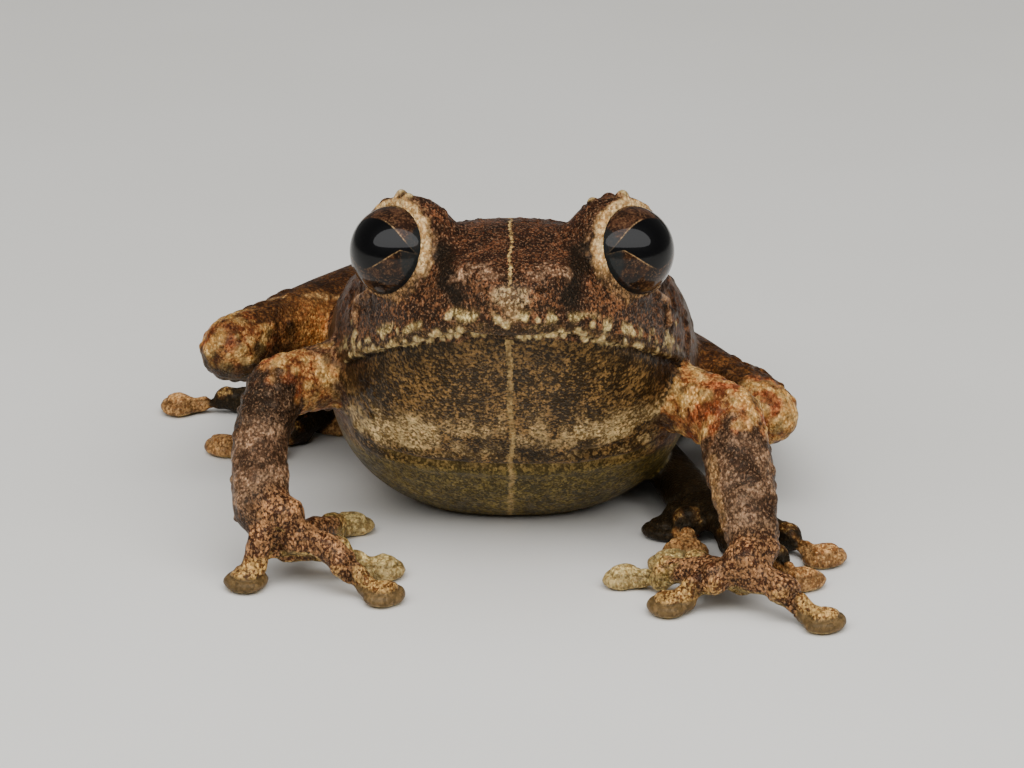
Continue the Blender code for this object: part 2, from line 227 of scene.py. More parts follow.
class Owners:
    """Tells which node of the frame each point of the skin lies on."""

    def __init__(self):
        verts, faces, self.nodes = [], [], []
        for index, node in enumerate(FLESH):
            bm = flesh_bmesh(node)
            base = len(verts)
            verts += [tuple(v.co) for v in bm.verts]
            faces += [[base + v.index for v in face.verts] for face in bm.faces]
            self.nodes += [index] * len(bm.faces)
            bm.free()
        self.tree = BVHTree.FromPolygons(verts, faces)

    def ask(self, points):
        self.owner = np.array([self.nodes[self.tree.find_nearest(Vector(p))[2]] for p in points])

    def laid(self, starts, way, depth):
        """Points sent this way until they meet the flesh, or to its depth and its nearest place."""
        met = [self.tree.ray_cast(start, way)[0] or Vector(start) + Vector(way) * depth for start in starts]
        return np.array([self.tree.find_nearest(place)[0] for place in met])

    def from_front(self, path, side):
        """Lays X and Z pairs on the flesh, as seen from the front."""
        return self.laid([(side * x, -LOOK_FROM, z) for x, z in path], (0, 1, 0), FRONT_DEPTH)

    def from_flank(self, path, side):
        """Lays Y and Z pairs on the flesh, as seen from the side."""
        return self.laid([(side * LOOK_FROM, y, z) for y, z in path], (-side, 0, 0), FLANK_DEPTH)

    def are(self, *starts):
        picked = [index for index, node in enumerate(FLESH) if node.startswith(starts)]
        return np.isin(self.owner, picked)


def joint(first, second):
    """Where two CAD solids meet: the middle of the first one's points that lie near the second."""
    a, b = flesh_bmesh(first), flesh_bmesh(second)
    tree = BVHTree.FromBMesh(b)
    near = [v.co.copy() for v in a.verts if tree.find_nearest(v.co)[3] < JOINED]
    a.free()
    b.free()
    return np.array(sum(near, Vector()) / len(near))


def node_points(node):
    return drawing([v.co for v in frame["nodes"][node].data.vertices])


def joints(first, second):
    """A joint for each side, whose name stands in place of {}."""
    return {side: joint(first.format(side), second.format(side)) for side in SIDES}


KNEE_LONG = 2.0


def knee(side):
    """The middle of the foremost part of a folded leg."""
    points = np.concatenate((node_points(f"thigh_{side}"), node_points(f"shank_{side}")))
    return points[points[:, 1] < points[:, 1].min() + KNEE_LONG].mean(axis=0)


PAD_ACROSS = 1.6  # a little more than the flat under a pad
ON_FLOOR = 0.02  # points lower than this are in the flats that the frog rests on


class Digit:
    """Where a finger's or toe's pad stands, and which way its stalk leads from there."""

    def __init__(self, node):
        points = node_points(node)
        self.node = node
        on_floor = points[points[:, 2] < ON_FLOOR]
        tip = on_floor[np.argmax(to_point(on_floor, self.root_of(node)))]
        self.pad = on_floor[to_point(on_floor, tip) < PAD_ACROSS].mean(axis=0)
        away = points - self.pad
        self.root_way = unit(away[np.argmax(length_of(away[:, :2]))] * (1, 1, 0))

    @staticmethod
    def root_of(node):
        kind, _, side = node.split("_")
        return node_points({"finger": "hand", "toe": "foot"}[kind] + f"_{side}").mean(axis=0)


SHOULDERS = joints("upper_arm_{}", "trunk")
ELBOWS = joints("upper_arm_{}", "forearm_{}")
WRISTS = joints("forearm_{}", "hand_{}")
HIPS = joints("thigh_{}", "trunk")
KNEES = {side: knee(side) for side in SIDES}
HEELS = joints("shank_{}", "tarsus_{}")
DIGITS = [Digit(node) for node in FLESH if node.startswith(("finger", "toe"))]


def near_any(points, places, reach):
    """1 at a joint of either side, falling to 0 away from it; the reach may differ by side."""
    reach = reach if isinstance(reach, dict) else dict.fromkeys(SIDES, reach)
    return np.max([bell(to_point(points, place), reach[side]) for side, place in places.items()], axis=0)


# ---- landmarks of the head

BODY = ("trunk", "head", "lower_jaw")
MOUTH_FRONT = np.array((0.0, 0.9, 10.28))
MOUTH_BACK = unit((0.0, 7.5, -3.43))
MOUTH_UP = unit((0.0, 3.43, 7.5))
MOUTH_DEPTH = 7.4
CHEEK_FOLD = ((5.50, 11.3), (5.62, 10.6), (5.85, 9.8), (5.90, 9.1))  # X and Z, seen from the front
TEMPLE_FOLD = ((6.7, 11.6), (8.2, 11.1), (9.5, 9.8), (9.9, 8.2), (9.6, 7.2))  # Y and Z, seen from the side
EARDRUM = (7.9, 9.75)
EARDRUM_RADIUS = 0.62
CHEEK_KNOB = (5.95, 6.4, 8.25)
SNOUT_RIDGE = ((3.0, 3.4, 12.85), (1.5, 1.6, 12.5))
SNOUT_HOLLOW = ((3.2, 2.9, 11.7), (2.1, 1.4, 11.6))
NOSTRIL = ((1.02, 1.0, 12.1), (1.1, 0.98, 12.0))
CHEST_FOLD = ((-5.6, 8.2, 4.3), (-4.3, 6.9, 3.7), (-2.0, 6.2, 3.55), (0, 6.1, 3.5), (1.8, 6.3, 3.5),
              (3.7, 6.7, 3.65), (5.7, 8.0, 4.0))
CHEST_CREASE = ((2.4, 5.7, 4.1), (4.3, 6.5, 4.5), (5.8, 8.0, 5.2))


def lip_wave(x):
    """How far the edge of the lip arches up beside the tip of the snout."""
    return 0.20 * bell(np.abs(x) - 2.1, 1.0)


def mouth_place(points):
    """Height over the edge of the lip, and how far back along it, in millimetres."""
    away = points - MOUTH_FRONT
    return away @ MOUTH_UP - lip_wave(points[:, 0]), away @ MOUTH_BACK


class Eye:
    """The eyeball's place and the way it looks."""

    def __init__(self, side):
        self.centre = EYE_MIDDLE + (side * EYE_OUT, 0, 0)
        self.forward = on_side(EYE_AXIS, side)
        self.up = unit((0, 0, 1) - self.forward[2] * self.forward)
        self.nasal = np.cross(self.up, self.forward)
        if self.nasal[1] > 0:
            self.nasal = -self.nasal

    def polar(self, points):
        """Distance from the eye's middle, degrees off its axis, and turn about it (0 nasal, 90 up)."""
        away = points - self.centre
        distance = length_of(away)
        off = np.degrees(np.arccos(np.clip(away @ self.forward / distance, -1, 1)))
        turn = np.degrees(np.arctan2(away @ self.up, away @ self.nasal))
        return away, distance, off, turn


OPEN_EYES = {side: Eye(sign) for side, sign in SIDES.items()}
LID_OPENING = {0: 77.0, 90: 72.0, 180: 80.0, -90: 81.0}  # degrees off the axis, by turn
LID_ROLL = {0: 0.17, 60: 0.20, 120: 0.15, 180: 0.07, -90: 0.06}  # thickness of the lid's edge
LID_CREAM_WIDTH = {-20: 2.5, 10: 5.5, 50: 5.0, 90: 3.4, 140: 2.6}  # degrees of the lid, by turn


def around(turn, stops):
    """A value that changes smoothly round the eye between its stops."""
    at = sorted(stops)
    keys = [at[-1] - 360] + at + [at[0] + 360]
    values = [stops[at[-1]]] + [stops[key] for key in at] + [stops[at[0]]]
    return np.interp(turn, keys, values)


# ---- one skin over all the flesh

SWELL = 0.10  # the flesh is swollen by this before it is joined, and drawn in again after
FINE = 0.09  # spacing of the skin's points
SOCKET_SPARE = 0.04  # how much wider than the eyeballs the balls that fill the sockets are


def joined_skin():
    """All the flesh as one closed surface, with the eye sockets filled."""
    whole = bmesh.new()
    for node in FLESH:
        bm = flesh_bmesh(node)
        places = [v.co + v.normal * SWELL for v in bm.verts]
        for vert, place in zip(bm.verts, places):
            vert.co = place
        piece = bpy.data.meshes.new("piece")
        bm.to_mesh(piece)
        bm.free()
        whole.from_mesh(piece)
        bpy.data.meshes.remove(piece)
    for eye in OPEN_EYES.values():
        ball = bmesh.ops.create_uvsphere(whole, u_segments=32, v_segments=24, radius=EYE_RADIUS + SOCKET_SPARE)
        bmesh.ops.translate(whole, vec=Vector(eye.centre), verts=ball["verts"])
    mesh = bpy.data.meshes.new("skin")
    whole.to_mesh(mesh)
    whole.free()
    made = link(mesh, "skin")
    remesh = made.modifiers.new("one_surface", "REMESH")
    remesh.mode = "VOXEL"
    remesh.voxel_size = FINE
    evaluated(made)
    return made


LID_HIDDEN = 0.28  # how far inside the eyeball the skin passes behind it
LID_REACH = 0.9  # the lids shape the skin this far out from the eyeball


def seat_lids(points):
    """Opens the lids: the skin dips behind each eyeball and stands round it in a rolled edge."""
    for eye in OPEN_EYES.values():
        away, distance, off, turn = eye.polar(points)
        past = off - around(turn, LID_OPENING)
        roll = around(turn, LID_ROLL)
        hidden = EYE_RADIUS - LID_HIDDEN
        rise = hidden + (LID_HIDDEN + roll) * ease(-9.0, 1.5, past)
        outside = EYE_RADIUS + roll * (1 - ease(9.0, 21.0, past))
        target = np.where(past < 1.5, rise, np.maximum(distance, outside))
        near = distance < EYE_RADIUS + LID_REACH
        points[near] = (eye.centre + away * (target / distance)[:, None])[near]


def cheek_gaps(points, owners, side):
    """Each point's distance from the cheek fold, the temple fold and the eardrum's middle."""
    cheek = to_line(points, owners.from_front(CHEEK_FOLD, side))
    temple = to_line(points, owners.from_flank(TEMPLE_FOLD, side))
    return cheek, temple, to_point(points, owners.from_flank((EARDRUM,), side)[0])


def folds(points, owners):
    """The large folds and rolls: how far each point moves along its normal."""
    out = np.zeros(len(points))
    face = owners.are(*BODY)
    for side in SIDES.values():
        ridge = to_line(points, on_side(SNOUT_RIDGE, side))
        hollow = to_line(points, on_side(SNOUT_HOLLOW, side))
        nostril = to_line(points, on_side(NOSTRIL, side))
        cheek, temple, drum = cheek_gaps(points, owners, side)
        out += face * (0.13 * bell(temple, 0.26) - 0.07 * bell(temple - 0.55, 0.22))
        out += face * (0.07 * bell(drum - EARDRUM_RADIUS, 0.11) - 0.07 * ease(0.55, 0.35, drum))
        out += face * (0.20 * bell(ridge, 0.55) - 0.20 * bell(hollow, 0.8))
        out += face * (0.12 * bell(nostril, 0.38) - 0.30 * bell(nostril, 0.12))
        out += face * (0.13 * bell(cheek, 0.17) - 0.08 * bell(cheek - 0.38, 0.14))
    height, back = mouth_place(points)
    front = face * ease(MOUTH_DEPTH + 0.5, MOUTH_DEPTH - 0.5, back)
    out -= front * 0.13 * bell(height + 0.05, 0.10)
    out += front * 0.06 * bell(height - 0.30, 0.26)
    out -= front * 0.13 * ease(-2.2, -0.1, height) * (height < 0.05)
    for path, depth in ((CHEST_FOLD, 0.13), (CHEST_CREASE, 0.10)):
        crease = to_line(points, path)
        out -= face * depth * bell(crease, 0.16)
        out += face * depth * 0.6 * bell(crease - 0.5, 0.3)
    return out + digit_forms(points, owners)


NECK_GAP = 1.15  # from the middle of a pad to the neck behind it
KNOB_BACK, KNOB_UP = 1.66, 1.12  # and to the knob on the last knuckle
PAD_GROOVE = 0.58  # height of the groove round a pad


def digit_forms(points, owners):
    """Slims the neck behind each pad, and raises a round tubercle over it and a groove round it."""
    out = np.zeros(len(points))
    for digit in DIGITS:
        away = points - digit.pad
        gap = length_of(away[:, :2])
        back = away @ digit.root_way
        z = points[:, 2]
        mine = owners.are(digit.node)
        out -= mine * 0.15 * bell(gap - NECK_GAP, 0.20) * (back > 0.5)
        out += mine * 0.24 * bell(np.hypot(back - KNOB_BACK, away[:, 2] - KNOB_UP), 0.40)
        out -= mine * 0.10 * bell(back - 1.12, 0.13) * (away[:, 2] > 0.6)
        out += mine * (gap < 1.2) * (0.08 * bell(z - 0.26, 0.17) - 0.10 * bell(z - PAD_GROOVE, 0.06))
    return out


# ---- warts and granules

def scatter(points, likely, spacing, rng):
    """Picks points where they are likely, none closer together than the spacing."""
    candidates = np.flatnonzero(rng.random(len(points)) < likely)
    rng.shuffle(candidates)
    cells, chosen = {}, []
    for index in candidates:
        key = tuple((points[index] // spacing).astype(int))
        near = [
            other for dx in (-1, 0, 1) for dy in (-1, 0, 1) for dz in (-1, 0, 1)
            for other in cells.get((key[0] + dx, key[1] + dy, key[2] + dz), ())
        ]
        if all(np.linalg.norm(points[index] - points[other]) > spacing for other in near):
            cells.setdefault(key, []).append(index)
            chosen.append(index)
    return chosen


LIP_SPACING = 0.46
LIP_ROWS = ((0.10, 0.05, 1.0, 0.8), (0.55, 0.14, 1.8, 0.3))  # height, unevenness, spacing's share, pale ones
LIP_TURNS = np.radians(np.linspace(-84, 84, 700))  # steps round the mouth, from corner to corner
LIP_SWEEP = MOUTH_DEPTH - 0.4


def lip_granules(tree, rng):
    """Rows of granules along the edge of the upper lip."""
    rows = []
    for level, uneven, stretch, pale in LIP_ROWS:
        travelled, wanted, previous = 0.0, 0.0, None
        for turn in LIP_TURNS:
            rise = level + uneven * rng.uniform(-1, 1) + lip_wave(LIP_SWEEP * math.sin(turn))
            origin = MOUTH_FRONT + MOUTH_BACK * LIP_SWEEP + MOUTH_UP * rise
            direction = np.array((math.sin(turn), 0, 0)) - MOUTH_BACK * math.cos(turn)
            hit = tree.ray_cast(origin, direction)[0]
            travelled += (hit - previous).length if previous is not None else 0.0
            previous = hit
            if travelled >= wanted:
                rows.append((*hit, rng.uniform(0.10, 0.18), rng.uniform(0.06, 0.12), rng.random() < pale))
                wanted = LIP_SPACING * stretch * rng.uniform(0.7, 1.6)
                travelled = 0.0
    return rows


# Knobs on the eyelids and crown, seen from above: X, Y, radius, height.
LID_KNOBS = ((-4.12, 5.7, 0.20, 0.27), (-3.86, 5.3, 0.19, 0.20), (-2.55, 5.2, 0.17, 0.14),
             (-4.75, 6.3, 0.20, 0.12), (4.12, 5.7, 0.20, 0.25), (3.0, 5.5, 0.18, 0.19),
             (3.6, 6.2, 0.20, 0.14), (2.3, 4.6, 0.16, 0.08))
FOREARM_KNOBS = (0.35, 0.55, 0.73, 0.9)  # along the forearm's outer edge, from the elbow


def forearm_knobs(tree, rng):
    rows = []
    for side, sign in SIDES.items():
        for share in FOREARM_KNOBS:
            place = ELBOWS[side] + (WRISTS[side] - ELBOWS[side]) * share
            hit = tree.ray_cast(place + (sign * 4, -0.6, 0), (-sign, 0, 0))[0]
            rows.append((*hit, rng.uniform(0.2, 0.3), rng.uniform(0.08, 0.13), 0.6))
    return rows


WART_SEED = 21


def all_warts(points, normals, owners, tree):
    """Every wart as a row: X, Y, Z, radius, height, paleness."""
    rng = np.random.default_rng(WART_SEED)
    rows = []
    for x, y, radius, height in LID_KNOBS:
        hit = tree.ray_cast((x, y, LOOK_FROM), (0, 0, -1))[0]
        rows.append((*hit, radius, height, height > 0.14))
    rows += lip_granules(tree, rng) + forearm_knobs(tree, rng)
    z = points[:, 2]
    arms, legs = owners.are("upper_arm", "forearm"), owners.are("thigh", "shank")
    neck = owners.are(*BODY) * ease(0.55, 0.85, np.abs(normals[:, 0]))
    neck = neck * ease(4.5, 6.0, z) * ease(11.4, 10.8, z) * (np.abs(points[:, 0]) > 5.2)
    neck = neck * ease(12.0, 8.5, points[:, 1])
    sorts = (  # where likely, spacing, radii, heights, share that is pale
        (arms * near_any(points, ELBOWS, 2.2), 0.50, (0.10, 0.28), (0.03, 0.10), 0.55),
        (legs * near_any(points, KNEES, 2.6), 0.52, (0.12, 0.34), (0.04, 0.13), 0.6),
        (owners.are("forearm", "hand", "shank", "tarsus") * 0.02, 0.6, (0.10, 0.18), (0.02, 0.05), 0.25),
        (owners.are("finger", "toe") * 0.03 * (z > 0.6), 0.42, (0.08, 0.14), (0.02, 0.045), 0.4),
        (owners.are("trunk") * 0.004 * (z > 5), 0.9, (0.14, 0.30), (0.03, 0.08), 0.15),
        (neck * 0.06, 0.42, (0.08, 0.20), (0.03, 0.09), 0.15),
        (owners.are("head") * 0.02 * ease(9.5, 11.0, z), 0.40, (0.06, 0.12), (0.02, 0.05), 0.03),
    )
    for likely, spacing, radii, heights, pale in sorts:
        for index in scatter(points, likely, spacing, rng):
            rows.append((*points[index], rng.uniform(*radii), rng.uniform(*heights), rng.random() < pale))
    return np.array(rows, float)


WART_FOOT = 1.5  # how far a wart's foot spreads, in radii


def finder(points):
    tree = KDTree(len(points))
    for index, point in enumerate(points):
        tree.insert(point, index)
    tree.balance()
    return tree


def wart_field(points, warts):
    """How far the warts lift each point, and how pale they make it, 0 to 1."""
    tree = finder(points)
    lift, paleness = np.zeros(len(points)), np.zeros(len(points))
    for *centre, radius, height, pale in warts:
        foot = radius * WART_FOOT
        found = tree.find_range(centre, foot)
        near = np.array([row[1] for row in found], int)
        gap = np.array([row[2] for row in found])
        dome = np.clip(1 - (gap / foot) ** 2, 0, 1) ** 1.15
        lift[near] = np.maximum(lift[near], height * dome)
        paleness[near] = np.maximum(paleness[near], pale * ease(0.25, 0.75, dome))
    return lift, paleness


def raised(warts, before, after):
    """The warts with their centres moved to where the skin's nearest points have gone."""
    tree = finder(before)
    nearest = [tree.find(wart[:3])[1] for wart in warts]
    return np.concatenate((after[nearest], warts[:, 3:]), axis=1)


# ---- putting the skin together

SKIN_TRIANGLES = 190000


def thin_broad_parts(skin, owners):
    """Thins the trunk and the legs, and leaves the face, elbows, hands and digits fine."""
    points = points_of(skin.data)
    face = owners.are("head", "lower_jaw") & (points[:, 1] < 8.2)
    keep = face | owners.are("finger", "hand", "toe") | (near_any(points, ELBOWS, 2.0) > 0.4)
    group = skin.vertex_groups.new(name="broad")
    group.add(np.flatnonzero(~keep).tolist(), 1.0, "REPLACE")
    thin = skin.modifiers.new("thin", "DECIMATE")
    thin.ratio = min(1.0, SKIN_TRIANGLES / (2 * len(skin.data.polygons)))
    thin.vertex_group = "broad"
    thin.vertex_group_factor = 0.0
    evaluated(skin)
    skin.vertex_groups.clear()


def surface_tree(mesh):
    mesh.calc_loop_triangles()
    corners = rows_of(mesh.loop_triangles, "vertices", 3, int)
    return BVHTree.FromPolygons(points_of(mesh).tolist(), corners.tolist())


def keep_on_floor(mesh):
    points = points_of(mesh)
    points[:, 2] = np.maximum(points[:, 2], 0.0)
    set_points(mesh, points)


SMOOTHING = {"palm": 0.35, "digit": 0.10, "body": 0.5, "limb": 0.32}
SMOOTHING_ROUNDS = 60


def make_skin():
    """Joins the flesh, smooths its seams away, then forms folds, lids, warts and markings on it."""
    skin = joined_skin()
    mesh, owners = skin.data, Owners()
    owners.ask(points_of(mesh))
    slim = owners.are("finger", "toe", "hand")
    relax(mesh, np.full(len(slim), 0.5), 3)
    palm = owners.are("hand") | (near_any(points_of(mesh), WRISTS, 1.0) > 0.3)
    smoothing = np.select((palm, slim, owners.are(*BODY)), [SMOOTHING[part] for part in ("palm", "digit", "body")],
                          SMOOTHING["limb"])
    relax(mesh, smoothing, SMOOTHING_ROUNDS)
    swell(mesh, -SWELL * np.where(slim, 1.0, 0.8))
    keep_on_floor(mesh)
    swell(mesh, folds(points_of(mesh), owners))
    relax(mesh, np.full(len(slim), 0.3), 1)
    points = points_of(mesh)
    seat_lids(points)
    set_points(mesh, points)
    warts = all_warts(points, normals_of(mesh), owners, surface_tree(mesh))
    swell(mesh, wart_field(points, warts)[0])
    warts = raised(warts, points, points_of(mesh))
    keep_on_floor(mesh)
    thin_broad_parts(skin, owners)
    mesh = skin.data
    points = points_of(mesh)
    owners.ask(points)
    colour_skin(mesh, owners, wart_field(points, warts)[1])
    set_points(mesh, ORIGIN + points * MM)
    mesh.shade_smooth()
    return skin


# ---- markings and painted shade

COLOURS = ("ground", "fleck")
AMOUNTS = ("share", "specks", "grain", "dust")


def as_column(amount):
    return np.clip(np.asarray(amount, float), 0, 1)[:, None]


class Coat:
    """The skin's paint at each point: a ground and a fleck colour, the flecks' share of it,
    dark specks, grain (which also sets the painted shade between granules), and fine pale flecks that are partly
    painted glints."""

    def __init__(self, count):
        self.layers = {name: np.zeros((count, 3)) for name in COLOURS}
        self.layers.update({name: np.zeros((count, 1)) for name in AMOUNTS})

    def lay(self, amount, layers):
        """Covers what is there with another paint, as much as the amount says."""
        amount = as_column(amount)
        for name, value in layers.items():
            value = paint_chart(*value) if name in COLOURS else value
            self.layers[name] += amount * (value - self.layers[name])

    def shade(self, amount, factor):
        """Darkens or lightens both colours."""
        for name in COLOURS:
            self.layers[name] *= 1 + as_column(amount) * (factor - 1)

    def soften(self, amount):
        """Evens ground and flecks out, and smooths the grain."""
        amount, layers = as_column(amount), self.layers
        middle = layers["ground"] + (layers["fleck"] - layers["ground"]) * layers["share"]
        for name in COLOURS:
            layers[name] += amount * (middle - layers[name])
        for name in ("specks", "grain"):
            layers[name] *= 1 - 0.8 * amount

    def attach(self, mesh):
        layers = self.layers
        lay = np.concatenate([layers[name] for name in ("share", "specks", "grain")], axis=1)
        dust = np.repeat(layers["dust"], 3, axis=1)
        for name, values in (("ground", layers["ground"]), ("fleck", layers["fleck"]),
                             ("lay", lay), ("dust", dust)):
            made = mesh.attributes.new(name, "FLOAT_COLOR", "POINT")
            values = np.concatenate((np.clip(values, 0, 1), np.ones((len(values), 1))), axis=1)
            made.data.foreach_set("color", values.astype(np.float32).ravel())


def paint(ground, fleck, share, **amounts):
    """One paint of the coat, its two colours as a paint chart gives them."""
    return dict(ground=ground, fleck=fleck, share=share, **amounts)


BACK = paint((46, 23, 12), (112, 68, 42), 0.34, specks=0.45, grain=1.0)
CHEEK = paint((40, 21, 11), (126, 81, 50), 0.37, specks=0.5)
THROAT = paint((44, 31, 12), (148, 112, 64), 0.42, specks=0.4, grain=0.55)
BELLY = paint((62, 52, 18), (122, 102, 50), 0.48, specks=0.2, grain=0.30)
FLANK = paint((46, 28, 15), (98, 68, 42), 0.42, specks=0.25, grain=0.7)
PALE_CHEST = paint((120, 92, 50), (218, 188, 132), 0.54, specks=0.15)
CREAM_LIP = paint((116, 94, 52), (210, 186, 126), 0.57, specks=0.3)
CREAM = paint((190, 160, 102), (222, 198, 142), 0.5, specks=0.0)
BLACKISH = paint((20, 12, 7), (48, 31, 19), 0.12, specks=0.3, dust=0.08)
ORANGE = paint((120, 62, 28), (194, 134, 74), 0.48, specks=0.35)
CREAM_WART = paint((190, 140, 72), (228, 186, 116), 0.5, specks=0.1)
SHOULDER = paint((70, 42, 28), (142, 104, 74), 0.45, specks=0.4)
FOREARM_DARK = paint((46, 29, 18), (88, 62, 44), 0.30, specks=0.5)
FOREARM_GREY = paint((78, 54, 37), (146, 114, 86), 0.46, specks=0.35)
HAND = paint((60, 31, 16), (176, 126, 82), 0.46, specks=0.6)
PALE_DIGIT = paint((122, 98, 48), (196, 170, 104), 0.5, specks=0.15)
TOE = paint((118, 74, 34), (192, 142, 80), 0.5, specks=0.3)
PAD_TOP = paint((98, 60, 25), (206, 162, 94), 0.52, specks=0.6)
PAD_UNDER = paint((88, 69, 42), (102, 81, 52), 0.5, specks=0.0, grain=0.05, dust=0.0)
TOE_PAD = paint((128, 82, 42), (206, 154, 96), 0.55, specks=0.2)
PAD_PALE = paint((142, 116, 66), (208, 182, 120), 0.56, specks=0.15)
RED_ORANGE = paint((122, 54, 26), (184, 104, 60), 0.45, specks=0.25)
THIGH = paint((60, 32, 13), (116, 72, 34), 0.42, specks=0.45)
FOOT = paint((34, 26, 15), (56, 43, 26), 0.3, specks=0.3)
CHEST_ROLL = paint((104, 88, 46), (150, 130, 78), 0.5)
LIP_OVER = paint((42, 28, 14), (84, 62, 34), 0.25)
LIP_EDGE = paint((56, 40, 20), (120, 96, 56), 0.3)
NOSE_TAN = paint((100, 70, 48), (188, 152, 118), 0.52)
SNOUT_GREY = paint((92, 68, 42), (188, 160, 116), 0.54, specks=0.8)
SNOUT_WEDGE = paint((128, 98, 62), (178, 148, 104), 0.5)
DRUM_TAN = paint((72, 46, 28), (112, 78, 50), 0.5, grain=0.3)
FOLD_TAN = paint((132, 86, 54), (200, 156, 110), 0.55)
LID_FLECKS = paint((128, 90, 56), (196, 156, 108), 0.5)
LID_CREAM = paint((172, 130, 78), (222, 186, 130), 0.54, specks=0.2, grain=0.8)
LOWER_LID = paint((84, 58, 32), (164, 126, 80), 0.5)
FOREARM_TAN = paint((118, 84, 48), (190, 148, 98), 0.5)
STRIPE_TAN = paint((150, 108, 62), (196, 156, 100), 0.5)
THIGH_WARM = paint((176, 104, 48), (222, 158, 86), 0.54)

# Middle of the painted shadow below each eye.
UNDER_EYE_SHADOW = (3.4, 3.2, 11.9)
DARK_BEFORE_EYE = ((2.6, 3.75, 12.85), (2.4, 2.5, 12.35), (2.15, 1.5, 11.6))
NOSE_PALE = ((1.95, 1.95, 12.35), (1.25, 1.95, 12.65), (0.8, 1.5, 12.55))
# The fine pale line down the middle of crown and throat: (height, X) stops, and half-widths.
CROWN_LINE = ((11.4, -0.17), (12.3, -0.13), (12.85, -0.08), (13.1, -0.03))
CROWN_LINE_WIDTH = 0.052
THROAT_LINE = ((-0.5, -0.10), (5.0, 0.0), (10.0, -0.12))
THROAT_LINE_WIDTH = 0.105
SNOUT_TIP = (-0.1, 0.7, 11.88)
CHEST_PALE = (((-5.4, 7.0, 4.75), (-3.3, 5.2, 5.3)), ((3.1, 5.1, 5.3), (5.3, 6.1, 5.9)))
CHEST_DARK = (((-1.1, 5.2, 4.75), (-0.3, 5.3, 4.6)), ((0.6, 5.7, 4.2), (3.0, 6.2, 3.98)))
SHOULDER_DARK = (5.3, 5.6, 6.8)
CROWN_DARK = ((1.3, 4.5, 13.0, 0.45), (-1.9, 5.0, 13.0, 0.25))  # X, Y, Z, depth
# On the back, X and Y pairs, seen from above.
BACK_MARK = ((3.6, 9.0), (2.2, 12.2), (0.9, 10.2), (0.0, 11.0))  # half of a dark W over the shoulders
RUMP_MARK = ((2.6, 15.2), (1.1, 17.4), (0.0, 16.4))
LEG_BARS = (0.16, 0.42, 0.68)  # shares of a thigh or shank, from the knee
THIGH_STRIPE = ((-9.6, 16.1, 7.1), (-7.0, 17.4, 6.8))
THIGH_YELLOW = (-7.6, 15.7, 5.7)
THIGH_SPOTS = ((-9.4, 13.5, 6.35), (-9.9, 12.7, 6.0), (-8.6, 14.4, 6.4))
FOREARM_STRIP = ((7.45, 3.2, 4.6), (7.8, 1.6, 2.9))
FOREARM_EDGE = ((-10.35, 4.4, 3.4), (-9.95, 3.9, 2.3))
SHOULDER_REACH = {"left": 2.6, "right": 2.1}
WARM_ELBOW = {"left": 2.1, "right": 1.3}
PALE_FINGERS = ("finger_1", "finger_2")
HIDDEN_TOE = "toe_1_left"  # tucked under the shin, and as dark as the foot
KNEE_DARK_UNDER = {"left": 2.9, "right": 5.9}  # the level under which a knee is dark


def colour_skin(mesh, owners, wart_pale):
    """Paints the coat from the body outwards: each later paint covers the ones before it."""
    points, normals = points_of(mesh), normals_of(mesh)
    coat = Coat(len(points))
    coat.lay(np.ones(len(points)), BACK)
    # Fine pale flecks, partly pale granules and partly painted glints of wet skin, on the front of the head,
    # forearms, hands and fingers.
    coat.lay(owners.are("head") * ease(8.5, 6.0, points[:, 1]), {"dust": 0.30})
    coat.lay(owners.are("forearm", "hand", "finger"), {"dust": 0.28})
    colour_body(coat, points, normals, owners)
    colour_face(coat, points, owners, wart_pale)
    colour_limbs(coat, points, normals, owners, wart_pale)
    colour_digits(coat, points, normals, owners)
    aside = ease(0.72, 0.92, np.abs(normals[:, 0])) * ease(5.5, 7.5, points[:, 1])
    coat.soften(0.30 * owners.are(*BODY) * aside)
    coat.attach(mesh)
    middle_line(mesh, points, owners)


def middle_line(mesh, points, owners):
    """Each point's distance to the side of the pale middle line, the line's strength and half-width."""
    x, y, z = points.T
    top = owners.are("head")
    centre = np.where(top, np.interp(z, *zip(*CROWN_LINE)), np.interp(z, *zip(*THROAT_LINE)))
    centre = centre + 0.04 * wander(points, 1.6, 14)
    crown = top * ease(11.9, 12.2, z) * (1 - 0.35 * ease(12.9, 12.3, z))
    throat = owners.are("lower_jaw", "trunk") * ease(13.0, 9.0, y) * (z < 10.2) * 0.6
    width = np.where(top, CROWN_LINE_WIDTH, THROAT_LINE_WIDTH)
    keep_vectors(mesh, "middle_line", np.stack((x - centre, crown + throat, width), axis=1))


def patches(points, size, seed, level=0.0, softness=0.25):
    """Blotches with fairly crisp edges, 0 or 1; a lower level makes them cover more."""
    return ease(level - softness, level + softness, wander(points, size, seed))


